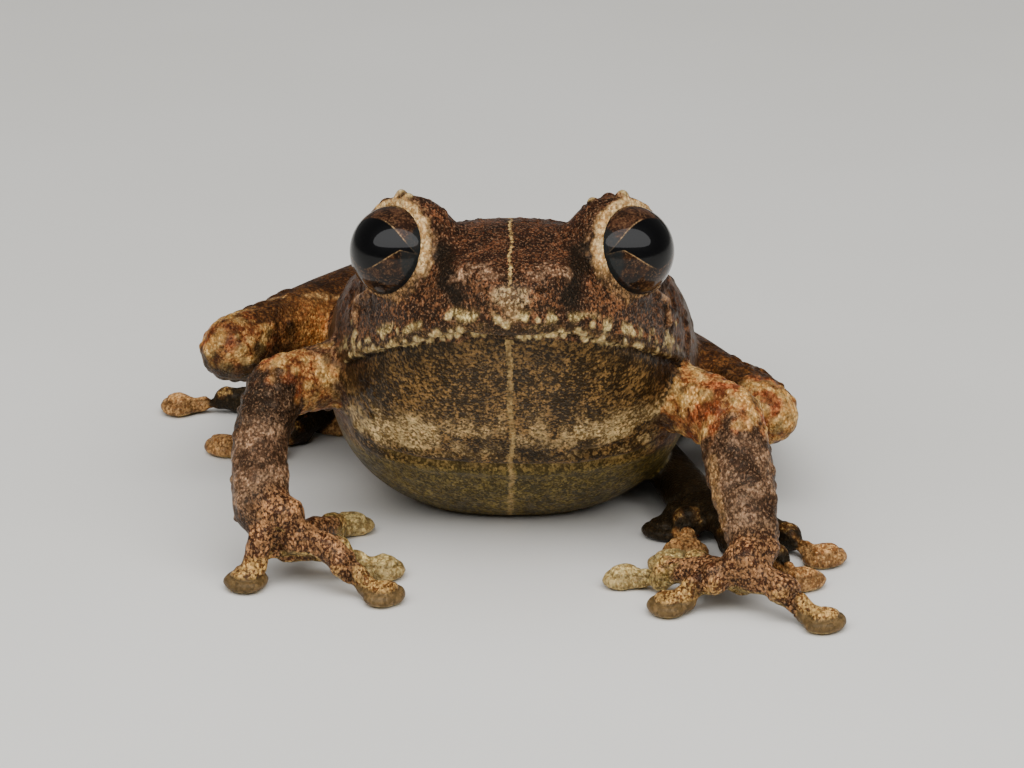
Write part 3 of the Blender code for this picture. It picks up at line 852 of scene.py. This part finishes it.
def colour_body(coat, points, normals, owners):
    """Throat, chest, belly, flanks and back."""
    x, y, z = points.T
    trunk, jaw = owners.are("trunk"), owners.are("lower_jaw")
    coat.shade(0.6 * patches(points, 2.4, 2, 0.1), 0.62)
    coat.lay(trunk * 0.5 * patches(points, 1.5, 3, 0.35), THIGH)
    coat.lay(trunk * 0.8 * ease(0.70, 0.92, np.abs(normals[:, 0])), FLANK)
    flank = ease(6.2, 3.2, z + 0.9 * wander(points, 2.2, 1))
    under = np.where(jaw, 1 - 0.7 * ease(4.9, 5.8, np.abs(x)) * ease(5.5, 7.5, z), trunk * flank)
    coat.lay(under, THROAT)
    coat.shade(under * 0.8 * patches(points, 1.3, 4, 0.25), 0.72)
    low = ease(3.75, 3.1, z) * ease(16.0, 12.0, y)
    coat.lay(under * low, BELLY)
    coat.shade(under * low * 0.7 * patches(points, 1.6, 5, 0.1, 0.5), 0.75)
    chest = (jaw | trunk) * ease(3.7, 4.4, z) * ease(6.6, 5.4, z) * ease(9.6, 7.4, y)
    coat.lay(chest * 0.6 * patches(points, 1.0, 6, 0.15), PALE_CHEST)
    for path in CHEST_PALE:
        away = to_line(points, path)
        coat.lay(chest * ease(1.0, 0.45, away + 0.45 * wander(points, 0.9, 7)), PALE_CHEST)
    for path in CHEST_DARK:
        away = to_line(points, path)
        coat.shade(ease(0.55, 0.2, away + 0.2 * wander(points, 0.7, 8)) * under, 0.5)
    fold = to_line(points, CHEST_FOLD)
    coat.lay(under * 0.7 * bell(fold, 0.17), CHEST_ROLL)
    above = trunk * ease(6.0, 7.5, z)
    for side in SIDES.values():
        coat.shade(0.8 * bell(to_point(points, on_side(SHOULDER_DARK, side)), 0.9), 0.5)
        for mark in (BACK_MARK, RUMP_MARK):
            away = to_line(points[:, :2], np.asarray(mark) * (side, 1))
            coat.shade(above * 0.75 * ease(0.75, 0.30, away + 0.30 * wander(points, 1.2, 9)), 0.5)
    blend_shoulders(coat, points, trunk | jaw)


def blend_shoulders(coat, points, on):
    """Greyish pink blotches that hide where the warm arm starts."""
    near = near_any(points, SHOULDERS, SHOULDER_REACH) + 0.16 * wander(points, 0.9, 44)
    coat.lay(on * 0.85 * ease(0.42, 0.66, near), SHOULDER)
    coat.shade(on * ease(0.4, 0.6, near) * patches(points, 0.8, 45, 0.1), 0.55)


def colour_face(coat, points, owners, wart_pale):
    """Cheeks, lip, snout, crown, eardrums and eyelids."""
    x, y, z = points.T
    head, jaw, body = owners.are("head"), owners.are("lower_jaw"), owners.are(*BODY)
    height, back = mouth_place(points)
    mouth = ease(MOUTH_DEPTH + 0.9, MOUTH_DEPTH - 0.3, back)
    coat.lay(head * ease(2.6, 1.7, height + 0.4 * wander(points, 1.2, 20)), CHEEK)
    coat.shade(head * 0.7 * patches(points, 0.9, 21, 0.3), 0.6)
    band = bell(height - 0.56 - 0.10 * wander(points, 1.3, 28), 0.21) * mouth * head
    coat.lay(band * 1.3 * patches(points, 0.60, 22, 0.2, 0.35), CREAM_LIP)
    coat.lay(head * 0.8 * bell(height - 0.30, 0.07) * mouth, LIP_OVER)
    coat.lay(head * 0.8 * bell(height - 0.10, 0.13) * mouth, LIP_EDGE)
    # Painted shade under the overhanging upper lip: the jaw just below the mouth is darkened.
    coat.shade(jaw * mouth * ease(-1.7, -0.1, height), 0.52)
    # Painted shade in the crease of the mouth.
    coat.shade(mouth * bell(height + 0.02, 0.06), 0.35)
    for *place, depth in CROWN_DARK:
        coat.shade(head * depth * bell(to_point(points, place), 1.1), 0.3)
    for side in SIDES.values():
        patch = to_line(points, on_side(DARK_BEFORE_EYE, side))
        coat.lay(head * ease(0.58, 0.30, patch + 0.14 * wander(points, 0.8, 23)), BLACKISH)
        # Painted shadow below the eye.
        coat.shade(head * 0.7 * bell(to_point(points, on_side(UNDER_EYE_SHADOW, side)), 0.6), 0.55)
        pale = to_line(points, on_side(NOSE_PALE, side))
        pale_on = ease(0.34, 0.08, pale + 0.22 * wander(points, 0.35, 24))
        coat.lay(head * 0.8 * pale_on, NOSE_TAN)
        nostril = to_line(points, on_side(NOSTRIL, side))
        # Painted shade in the nostril.
        coat.shade(head * bell(nostril, 0.13), 0.25)
        coat.lay(bell(to_point(points, on_side(CHEEK_KNOB, side)), 0.24), CREAM)
    tip = np.hypot((x - SNOUT_TIP[0]) / 0.72, (z - SNOUT_TIP[2]) / 0.40) + 0.3 * wander(points, 0.35, 25)
    tip_on = head * ease(1.15, 0.75, tip) * (y < 2.5)
    coat.lay(0.9 * tip_on, SNOUT_GREY)
    wedge = head * ease(0.5, 0.2, np.abs(x) + 0.2 * (11.5 - z)) * bell(z - 11.25, 0.3) * (y < 2.5)
    coat.lay(0.75 * wedge, SNOUT_WEDGE)
    beside = head * bell(np.abs(x) - 0.28, 0.16) * bell(y - 6.9, 0.5)
    coat.shade(0.8 * beside, 0.5)
    on_lip = head * ease(2.0, 1.4, height) * mouth
    on_lid = head * ease(12.6, 13.0, z)
    lip_or_lid = np.clip(on_lip + on_lid, 0, 1)
    coat.lay(0.9 * lip_or_lid * wart_pale, CREAM)
    coat.lay(0.7 * (1 - lip_or_lid) * (head | owners.are("trunk")) * wart_pale, SHOULDER)
    for side in SIDES.values():
        behind = head * ease(4.9, 5.7, x * side) * ease(12.2, 11.0, z)
        coat.shade(0.55 * behind * (1 - 0.6 * patches(points, 0.8, 29, 0.2)), 0.5)
        cheek, temple, drum = cheek_gaps(points, owners, side)
        # Painted shade below the temple fold, round the eardrum.
        shade_round_drum = ease(1.5, 0.6, drum + 0.3 * wander(points, 0.8, 51)) * body
        coat.shade(0.7 * shade_round_drum, 0.55)
        coat.lay(0.6 * bell(temple, 0.16) * body, SHOULDER)
        coat.lay(0.8 * ease(0.5, 0.4, drum), DRUM_TAN)
        fold = ease(0.24, 0.10, cheek + 0.10 * wander(points, 0.5, 43))
        coat.lay(0.8 * fold * (head | jaw), FOLD_TAN)
    for eye in OPEN_EYES.values():
        _, distance, off, turn = eye.polar(points)
        past = off - around(turn, LID_OPENING)
        close = distance < EYE_RADIUS + 0.5
        pale_arc = ease(-30, -6, turn) * ease(146, 128, turn)
        width = around(turn, LID_CREAM_WIDTH)
        edge = ease(width + 3.0, width - 1.5, past + 1.6 * wander(points, 0.35, 26)) * close
        beyond = pale_arc * ease(22, 6, past) * patches(points, 0.26, 27, 0.35) * close
        coat.lay(0.5 * beyond, LID_FLECKS)
        coat.lay(0.95 * pale_arc * edge, LID_CREAM)
        lower = (1 - pale_arc) * ease(3.5, 0.5, past) * close
        coat.lay(0.8 * lower, LOWER_LID)
        # Painted shade where the skin passes behind the eyeball.
        coat.shade(close * ease(-3.2, -4.4, past), 0.1)


def colour_limbs(coat, points, normals, owners, wart_pale):
    """Dark limbs with warm, warty elbows and knees."""
    x, y, z = points.T
    arm, forearm = owners.are("upper_arm"), owners.are("forearm")
    thigh, shank = owners.are("thigh"), owners.are("shank")
    leg = thigh | shank
    elbow, wrist = near_any(points, ELBOWS, 2.3), near_any(points, WRISTS, 1.35)
    knee_near = near_any(points, KNEES, 2.6)
    warm = patches(points, 1.6, 30, -0.35)
    coat.lay(leg, THIGH)
    coat.lay(forearm, FOREARM_DARK)
    grey = forearm * patches(points, 1.3, 31, -0.1) * ease(0.45, 0.18, elbow)
    coat.lay(grey, FOREARM_GREY)
    coat.lay(forearm * ease(0.35, 0.75, wrist), HAND)
    near_elbow = ease(0.38, 0.58, near_any(points, ELBOWS, WARM_ELBOW) + 0.12 * wander(points, 0.7, 32))
    coat.lay(forearm * near_elbow + arm, ORANGE)
    bar_legs(coat, points, leg)
    facing_front = ease(0.5, -0.3, normals[:, 1] - 0.4 * normals[:, 2])
    ragged = 0.16 * wander(points, 1.1, 33) + 0.10 * wander(points, 0.45, 46)
    knee_on = leg * ease(0.36, 0.62, knee_near * (0.45 + 0.55 * facing_front) + ragged)
    coat.lay(knee_on, ORANGE)
    coat.shade(knee_on * 0.8 * patches(points, 1.1, 47, 0.35, 0.2), 0.42)
    coat.lay((arm | forearm) * near_elbow * 0.85 * patches(points, 1.2, 38, -0.2, 0.3), RED_ORANGE)
    coat.lay(knee_on * 0.7 * patches(points, 1.2, 51, 0.1, 0.3), RED_ORANGE)
    coat.shade((arm | leg) * 0.55 * (1 - warm), 0.6)
    joints = np.clip(arm + forearm * near_elbow + knee_on, 0, 1)
    coat.lay(joints * 0.75 * patches(points, 0.95, 34, 0.35, 0.3), CREAM_WART)
    coat.lay(joints * 0.6 * wart_pale, CREAM_WART)
    coat.shade(joints * 0.8 * patches(points, 0.6, 35, 0.5, 0.2), 0.35)
    for side, level in KNEE_DARK_UNDER.items():
        below = ease(0.3, -0.4, z - level + 0.3 * wander(points, 0.9, 36))
        at_knee = bell(to_point(points, KNEES[side]), 3.2)
        coat.lay(leg * 0.88 * below * ease(0.25, 0.5, at_knee), FOOT)
    coat.lay(forearm * wart_pale * (1 - near_elbow) * 0.7, FOREARM_GREY)
    for path in (FOREARM_STRIP, FOREARM_EDGE):
        strip = to_line(points, path)
        coat.lay(forearm * 0.8 * ease(0.5, 0.2, strip), FOREARM_TAN)
    coat.shade(thigh * ease(6.3, 7.2, z), 0.62)
    stripe = to_line(points, THIGH_STRIPE)
    coat.lay(thigh * 0.75 * ease(0.20, 0.08, stripe + 0.06 * wander(points, 0.8, 37)), STRIPE_TAN)
    coat.lay(thigh * 0.9 * bell(to_point(points, THIGH_YELLOW), 1.25), THIGH_WARM)
    for place in THIGH_SPOTS:
        coat.shade(thigh * ease(0.45, 0.25, to_point(points, place)), 0.3)
    coat.lay(owners.are("tarsus", "foot"), FOOT)
    coat.shade(forearm * (x < 0) * ease(0.5, 0.2, wrist) * ease(0.45, 0.2, elbow), 1.30)
    coat.shade(forearm * ease(0.2, 0.6, wrist), 0.66)
    coat.shade(forearm * (x < 0) * (1 - near_elbow) * ease(0.05, 0.35, elbow), 0.55)
    blend_shoulders(coat, points, owners.are("upper_arm"))


def bar_legs(coat, points, leg):
    """Faint dark bars across the thighs and shanks."""
    for side, sign in SIDES.items():
        for far in (HIPS[side], HEELS[side]):
            way = far - KNEES[side]
            length = np.linalg.norm(way)
            along = (points - KNEES[side]) @ (way / length) + 0.25 * wander(points, 1.0, 48)
            aside = length_of(points - KNEES[side] - np.clip(along / length, 0, 1)[:, None] * way)
            for share in LEG_BARS:
                bar = bell(along - (share * length + 1.4), 0.38) * ease(2.4, 1.9, aside)
                coat.shade(leg * 0.7 * bar * (points[:, 0] * sign > 0), 0.5)


def colour_digits(coat, points, normals, owners):
    """Speckled hands, and pads with a pale top and a duller band below."""
    z = points[:, 2]
    hand, digit = owners.are("hand"), owners.are("finger", "toe")
    coat.lay(hand | digit, HAND)
    coat.lay(owners.are("toe"), FOOT)
    coat.shade((hand | digit) * 0.6 * patches(points, 0.45, 41, 0.2, 0.3), 0.5)
    facing_down = normals[:, 2] + 0.12 * wander(points, 0.4, 42)
    coat.lay((hand | owners.are("finger")) * 0.8 * ease(-0.45, -0.65, facing_down), PALE_DIGIT)
    # Painted shade on the undersides of hands and digits, by how far they face down.
    coat.shade((hand | digit) * ease(-0.72, -0.86, facing_down), 0.45)
    for spot in DIGITS:
        away = points - spot.pad
        gap = length_of(away[:, :2])
        mine = owners.are(spot.node) & (spot.node != HIDDEN_TOE)
        pale, toe = spot.node.startswith(PALE_FINGERS), spot.node.startswith("toe")
        under = 0.4 if pale or toe else 1.0  # strength of the pad's darker lower band
        reach = length_of(away) + 0.35 * wander(points, 0.6, 49)
        if toe:
            coat.lay(mine * ease(1.5, 1.1, reach), TOE)
        if pale:
            coat.lay(mine * 0.9 * ease(2.7, 2.1, reach), PALE_DIGIT)
        knob = np.hypot(away @ spot.root_way - KNOB_BACK, away[:, 2] - KNOB_UP)
        coat.lay(mine * 0.6 * ease(0.40, 0.20, knob + 0.12 * wander(points, 0.4, 50)), PAD_TOP)
        on_pad = mine * ease(1.12, 0.95, gap) * ease(1.40, 1.20, z)
        coat.lay(on_pad, PAD_PALE if pale else TOE_PAD if toe else PAD_TOP)
        # Painted shade in the slim neck behind the pad.
        coat.shade(mine * 0.8 * bell(gap - NECK_GAP, 0.12) * (z > 0.6), 0.45)
        coat.lay(on_pad * under * ease(0.60, 0.54, z), PAD_UNDER)
        # Painted shade in the groove round the pad.
        coat.shade(on_pad * 0.7 * bell(z - PAD_GROOVE, 0.045), 0.45)
        coat.lay(on_pad * 0.8 * bell(z - 0.06, 0.06), PAD_PALE)


# ---- materials

class Nodes:
    """Short ways to lay nodes down in one material."""

    def __init__(self, name):
        self.material = bpy.data.materials.new(name)
        self.material.use_nodes = True
        self.tree = self.material.node_tree
        self.shader = self.tree.nodes["Principled BSDF"]

    def feed(self, node, values):
        """Links sockets, or sets them to a number or a colour."""
        for name, value in values.items():
            socket = node.inputs[name]
            if isinstance(value, bpy.types.NodeSocket):
                self.tree.links.new(value, socket)
            else:
                socket.default_value = (*value, 1) if socket.type == "RGBA" else value

    def add(self, kind, values=None, **settings):
        node = self.tree.nodes.new(f"ShaderNode{kind}")
        for key, value in settings.items():
            setattr(node, key, value)
        self.feed(node, values or {})
        return node

    def finished(self, values):
        self.feed(self.shader, values)
        return self.material

    def math(self, operation, first, second=0.0):
        return self.add("Math", {0: first, 1: second}, operation=operation).outputs[0]

    def product(self, first, second):
        return self.math("MULTIPLY", first, second)

    def ramp(self, value, low, high, out_low=0.0, out_high=1.0):
        values = {"Value": value, "From Min": low, "From Max": high, "To Min": out_low, "To Max": out_high}
        return self.add("MapRange", values, interpolation_type="SMOOTHSTEP").outputs["Result"]

    def mix(self, amount, first, second, blend_type="MIX"):
        values = {0: amount, 6: first, 7: second}
        return self.add("Mix", values, data_type="RGBA", blend_type=blend_type).outputs[2]

    def over(self, colour, amount, *chart):
        """A paint chart's colour laid over another."""
        return self.mix(amount, colour, paint_chart(*chart))

    def grey(self, value):
        return self.add("CombineColor", {index: value for index in range(3)}).outputs[0]

    def attribute(self, name, output="Color"):
        return self.add("Attribute", attribute_name=name).outputs[output]

    def parts(self, colour):
        return self.add("SeparateColor", {0: colour}).outputs

    def vector_parts(self, name):
        return self.add("SeparateXYZ", {0: self.attribute(name, "Vector")}).outputs

    def noise(self, place, size_mm, detail=3.0, roughness=0.55):
        values = {"Vector": place, "Scale": 1 / (size_mm * MM), "Detail": detail, "Roughness": roughness}
        return self.add("TexNoise", values).outputs[0]

    def cells(self, place, size_mm):
        node = self.add("TexVoronoi", {"Vector": place, "Scale": 1 / (size_mm * MM)})
        return node.outputs["Distance"], node.outputs["Color"]

    def bump(self, height, distance_mm, strength, under=None):
        values = {"Height": height, "Distance": distance_mm * MM, "Strength": strength}
        if under is not None:
            values["Normal"] = under
        return self.add("Bump", values).outputs["Normal"]

    def weighted(self, *terms):
        """Sum of (value - 0.5) * weight."""
        total = 0.0
        for value, weight in terms:
            total = self.math("ADD", self.math("MULTIPLY", self.math("SUBTRACT", value, 0.5), weight), total)
        return total


FLECK_STRETCH = (1.0, 1.5, 1.25)  # flecks are longer along the body and up it than across


def skin_material():
    """Moist granular skin: flecks over a ground colour, dark specks, and painted shade in the creases between
    granules.
    """
    n = Nodes("moist_granular_skin")
    here = n.add("TexCoord").outputs["Object"]
    place = n.add("Mapping", {"Vector": here, "Scale": FLECK_STRETCH}, vector_type="TEXTURE").outputs[0]
    lay = n.parts(n.attribute("lay"))
    share, specks, grain = lay[0], lay[1], lay[2]
    distance, cell_colour = n.cells(place, 0.105)
    cell = n.parts(cell_colour)

    pattern = n.weighted((n.noise(place, 0.095, 2.0, 0.6), 1.6), (n.noise(place, 0.30, 2.0), 0.75),
                         (n.noise(place, 1.2, 1.0), 0.6), (cell[0], 0.50))
    level = n.product(n.math("SUBTRACT", share, 0.5), 0.95)
    flecks = n.ramp(n.math("ADD", pattern, level), -0.20, 0.24)
    colour = n.mix(flecks, n.attribute("ground"), n.attribute("fleck"))
    blotches = n.ramp(n.noise(place, 0.9, 3.0), 0.3, 0.7, 0.80, 1.22)
    shades = n.product(blotches, n.ramp(cell[1], 0, 1, 0.74, 1.28))
    colour = n.mix(1.0, colour, n.grey(shades), "MULTIPLY")
    dark = n.product(n.ramp(n.noise(place, 0.22, 3.0, 0.65), 0.54, 0.64), specks)
    colour = n.over(colour, n.product(dark, 0.8), 22, 14, 8)
    # Fine pale flecks: partly pale granules, partly painted glints of wet skin.
    dust = n.ramp(n.noise(place, 0.075, 1.0), 0.58, 0.66)
    dust = n.product(dust, n.parts(n.attribute("dust"))[0])
    colour = n.over(colour, dust, 186, 142, 106)
    # Painted shade: the creases between granules are darkened, as much as the grain says.
    crease = n.product(n.ramp(distance, 0.42, 0.75), n.product(grain, 0.4))
    colour = n.over(colour, crease, 26, 17, 10)
    line = middle_line_strength(n, place)
    colour = n.mix(line, colour, n.mix(cell[2], paint_chart(158, 122, 70), paint_chart(212, 180, 118)))

    coarse = n.bump(n.noise(here, 0.5, 3.0), 0.12, n.product(grain, 0.5))
    fine = n.bump(n.ramp(distance, 0.60, 0.10), 0.04, n.product(grain, 0.9), coarse)
    return n.finished({
        "Base Color": colour, "Normal": n.bump(n.noise(here, 0.06, 2.0), 0.012, 0.5, fine),
        "Roughness": n.ramp(n.noise(here, 0.35, 2.0), 0.3, 0.7, 0.42, 0.60),
        "Specular IOR Level": 0.18, "Specular Tint": (1.0, 0.86, 0.62),
        "Subsurface Weight": 0.10, "Subsurface Scale": 1.0, "Subsurface Radius": (0.0005, 0.00025, 0.00012),
        "Coat Weight": 0.05, "Coat Roughness": 0.18,
    })


def middle_line_strength(n, place):
    """A fine pale line with a ragged edge, broken here and there."""
    across, strength, width = n.vector_parts("middle_line")
    aside = n.math("ABSOLUTE", across)
    ragged = n.product(n.math("SUBTRACT", n.noise(place, 0.14, 2.0), 0.5), 0.34)
    share = n.math("DIVIDE", n.math("ADD", aside, ragged), width)
    broken = n.ramp(n.noise(place, 0.26, 2.0), 0.38, 0.54, 0.25, 1.0)
    return n.product(n.product(n.ramp(share, 1.4, 0.7), strength), broken)


PUPIL_REACH = (0.745, 0.93)  # below and above the middle
PUPIL_HEIGHT = 0.545
PUPIL_FULLNESS = (1.7, 2.2)  # below and above: a higher number makes the outline squarer
PUPIL_ROLL = math.radians(4)  # the pupil's snout end is turned up a little
NASAL_SHADE = 0.77  # nearer the snout than this, the eye is darkened with painted shade


def eye_material():
    """A wide level pupil edged in gold, in a flecked coppery iris, under a wet clear surface."""
    n = Nodes("wet_eye")
    place = n.add("TexCoord").outputs["Object"]
    nasal, up, forward = n.vector_parts("gaze")
    reach = n.math("DIVIDE", n.math("ABSOLUTE", nasal), n.ramp(up, -0.01, 0.01, *PUPIL_REACH))
    reach = n.math("MINIMUM", reach, 1.0)
    fullness = n.ramp(up, -0.01, 0.01, *PUPIL_FULLNESS)
    waist = n.math("SUBTRACT", 1.0, n.math("POWER", reach, fullness))
    outside = n.math("SUBTRACT", n.math("ABSOLUTE", up), n.product(waist, PUPIL_HEIGHT))
    iris = n.ramp(outside, -0.012, 0.012)
    speck, cloud = n.noise(place, 0.10, 3.0, 0.7), n.noise(place, 0.40, 3.0)
    gold = n.product(n.ramp(outside, 0.036, 0.008), n.ramp(nasal, 0.05, 0.40))
    gold = n.product(gold, n.ramp(speck, 0.42, 0.60, 0.25, 1.0))

    upper = n.mix(n.ramp(cloud, 0.40, 0.62), paint_chart(34, 18, 9), paint_chart(66, 41, 26))
    lower = n.mix(n.ramp(cloud, 0.40, 0.62), paint_chart(22, 12, 6), paint_chart(50, 29, 14))
    ring = n.mix(n.ramp(up, -0.1, 0.1), lower, upper)
    ring = n.over(ring, n.product(n.ramp(speck, 0.52, 0.66), 0.45), 116, 84, 56)
    ring = n.over(ring, n.product(n.ramp(speck, 0.48, 0.36), 0.8), 20, 13, 9)
    ring = n.over(ring, n.product(gold, 0.6), 190, 152, 104)
    rim = n.ramp(forward, math.cos(math.radians(66)), math.cos(math.radians(74)))
    ring = n.over(ring, rim, 14, 15, 16)
    ring = n.over(ring, n.product(n.ramp(nasal, NASAL_SHADE - 0.05, NASAL_SHADE + 0.03), 0.85), 24, 28, 28)
    return n.finished({
        "Base Color": n.mix(iris, paint_chart(4, 4, 5), ring), "Roughness": 0.4, "Specular IOR Level": 0.05,
        "Coat Weight": 1.0, "Coat Roughness": 0.03, "Coat IOR": 1.28,
    })


def floor_material():
    n = Nodes("pale_floor")
    place = n.add("TexCoord").outputs["Object"]
    shade = n.ramp(n.noise(place, 40.0, 3.0), 0.3, 0.7)
    colour = n.mix(shade, paint_chart(216, 214, 208), paint_chart(221, 219, 214))
    return n.finished({"Base Color": colour, "Roughness": 0.75})


# ---- eyes, stage, lights and camera

BALL_ROUND, BALL_UP = 96, 64
EYE_BULGE = 0.012  # of its radius, at the middle of the clear front


def make_eyeball(side, material):
    """A fine sphere on the CAD ball, its clear front bulging a little, with the gaze at each point."""
    eye = OPEN_EYES[side]
    bm = bmesh.new()
    bmesh.ops.create_uvsphere(bm, u_segments=BALL_ROUND, v_segments=BALL_UP, radius=1)
    cos, sin = math.cos(PUPIL_ROLL), math.sin(PUPIL_ROLL)
    axes = np.stack((eye.nasal * cos + eye.up * sin, eye.up * cos - eye.nasal * sin, eye.forward))
    gaze = np.array([v.co for v in bm.verts]) @ axes.T
    for vert, look in zip(bm.verts, gaze):
        bulge = 1 + EYE_BULGE * ease(0.5, 1.0, look[2])
        vert.co = world(eye.centre + np.array(vert.co) * EYE_RADIUS * bulge)
    mesh = bpy.data.meshes.new(f"eyeball_{side}")
    bm.to_mesh(mesh)
    bm.free()
    keep_vectors(mesh, "gaze", gaze)
    mesh.shade_smooth()
    made = link(mesh, f"eyeball_{side}")
    made.data.materials.append(material)
    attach(made, "root")
    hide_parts(f"eye_{side}")


FLOOR_HALF = 1.2  # half of the floor's width, in metres


def set_floor():
    bm = bmesh.new()
    bmesh.ops.create_grid(bm, x_segments=1, y_segments=1, size=FLOOR_HALF)
    mesh = bpy.data.meshes.new("floor")
    bm.to_mesh(mesh)
    bm.free()
    floor = link(mesh, "floor")
    floor.data.materials.append(floor_material())


CAMERA_RISE = math.radians(18)
CAMERA_AWAY = 0.2
CAMERA_AIM = (0.0, 2.0, 8.15)
CAMERA_LENS = 189.8
LIGHT_AIM = (0.0, 6.0, 7.0)
# Each soft light's height angle in degrees, distance and size in metres, and power in watts.
FRONT_BOX = (51, 0.17, (0.47, 0.155), 0.66)
HIGH_BOX = (90, 1.2, (1.8, 1.8), 10.8)
STUDIO_COLOUR, STUDIO_STRENGTH = (0.86, 0.84, 0.80, 1), 0.16


def set_camera():
    data = bpy.data.cameras.new("camera")
    data.lens = CAMERA_LENS
    data.clip_start = 0.01
    camera = link(data, "camera")
    away = Vector((0, -math.cos(CAMERA_RISE), math.sin(CAMERA_RISE)))
    camera.location = world(CAMERA_AIM) + CAMERA_AWAY * away
    camera.rotation_euler = (math.pi / 2 - CAMERA_RISE, 0, 0)
    bpy.context.scene.camera = camera


def soft_box(name, rise, away, size, power):
    """A soft light in front of the frog, at this height angle and distance, aimed at it."""
    data = bpy.data.lights.new(name, "AREA")
    data.shape = "ELLIPSE"
    data.size, data.size_y = size
    data.energy = power
    made = link(data, name)
    toward = Vector((0, math.cos(math.radians(rise)), -math.sin(math.radians(rise))))
    made.location = world(LIGHT_AIM) - away * toward
    made.rotation_euler = toward.to_track_quat("-Z", "Y").to_euler()
    return made


def set_lights():
    soft_box("front_box", *FRONT_BOX)
    soft_box("high_box", *HIGH_BOX).visible_glossy = False  # fills, and leaves no glare
    studio = bpy.data.worlds.new("studio")
    bpy.context.scene.world = studio
    studio.use_nodes = True
    background = studio.node_tree.nodes["Background"]
    background.inputs["Color"].default_value = STUDIO_COLOUR
    background.inputs["Strength"].default_value = STUDIO_STRENGTH


def main():
    set_camera()
    set_floor()
    set_lights()
    wet = eye_material()
    for side in SIDES:
        make_eyeball(side, wet)
    skin = make_skin()
    skin.data.materials.clear()
    skin.data.materials.append(skin_material())
    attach(skin, "root")
    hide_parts(*FLESH)


main()
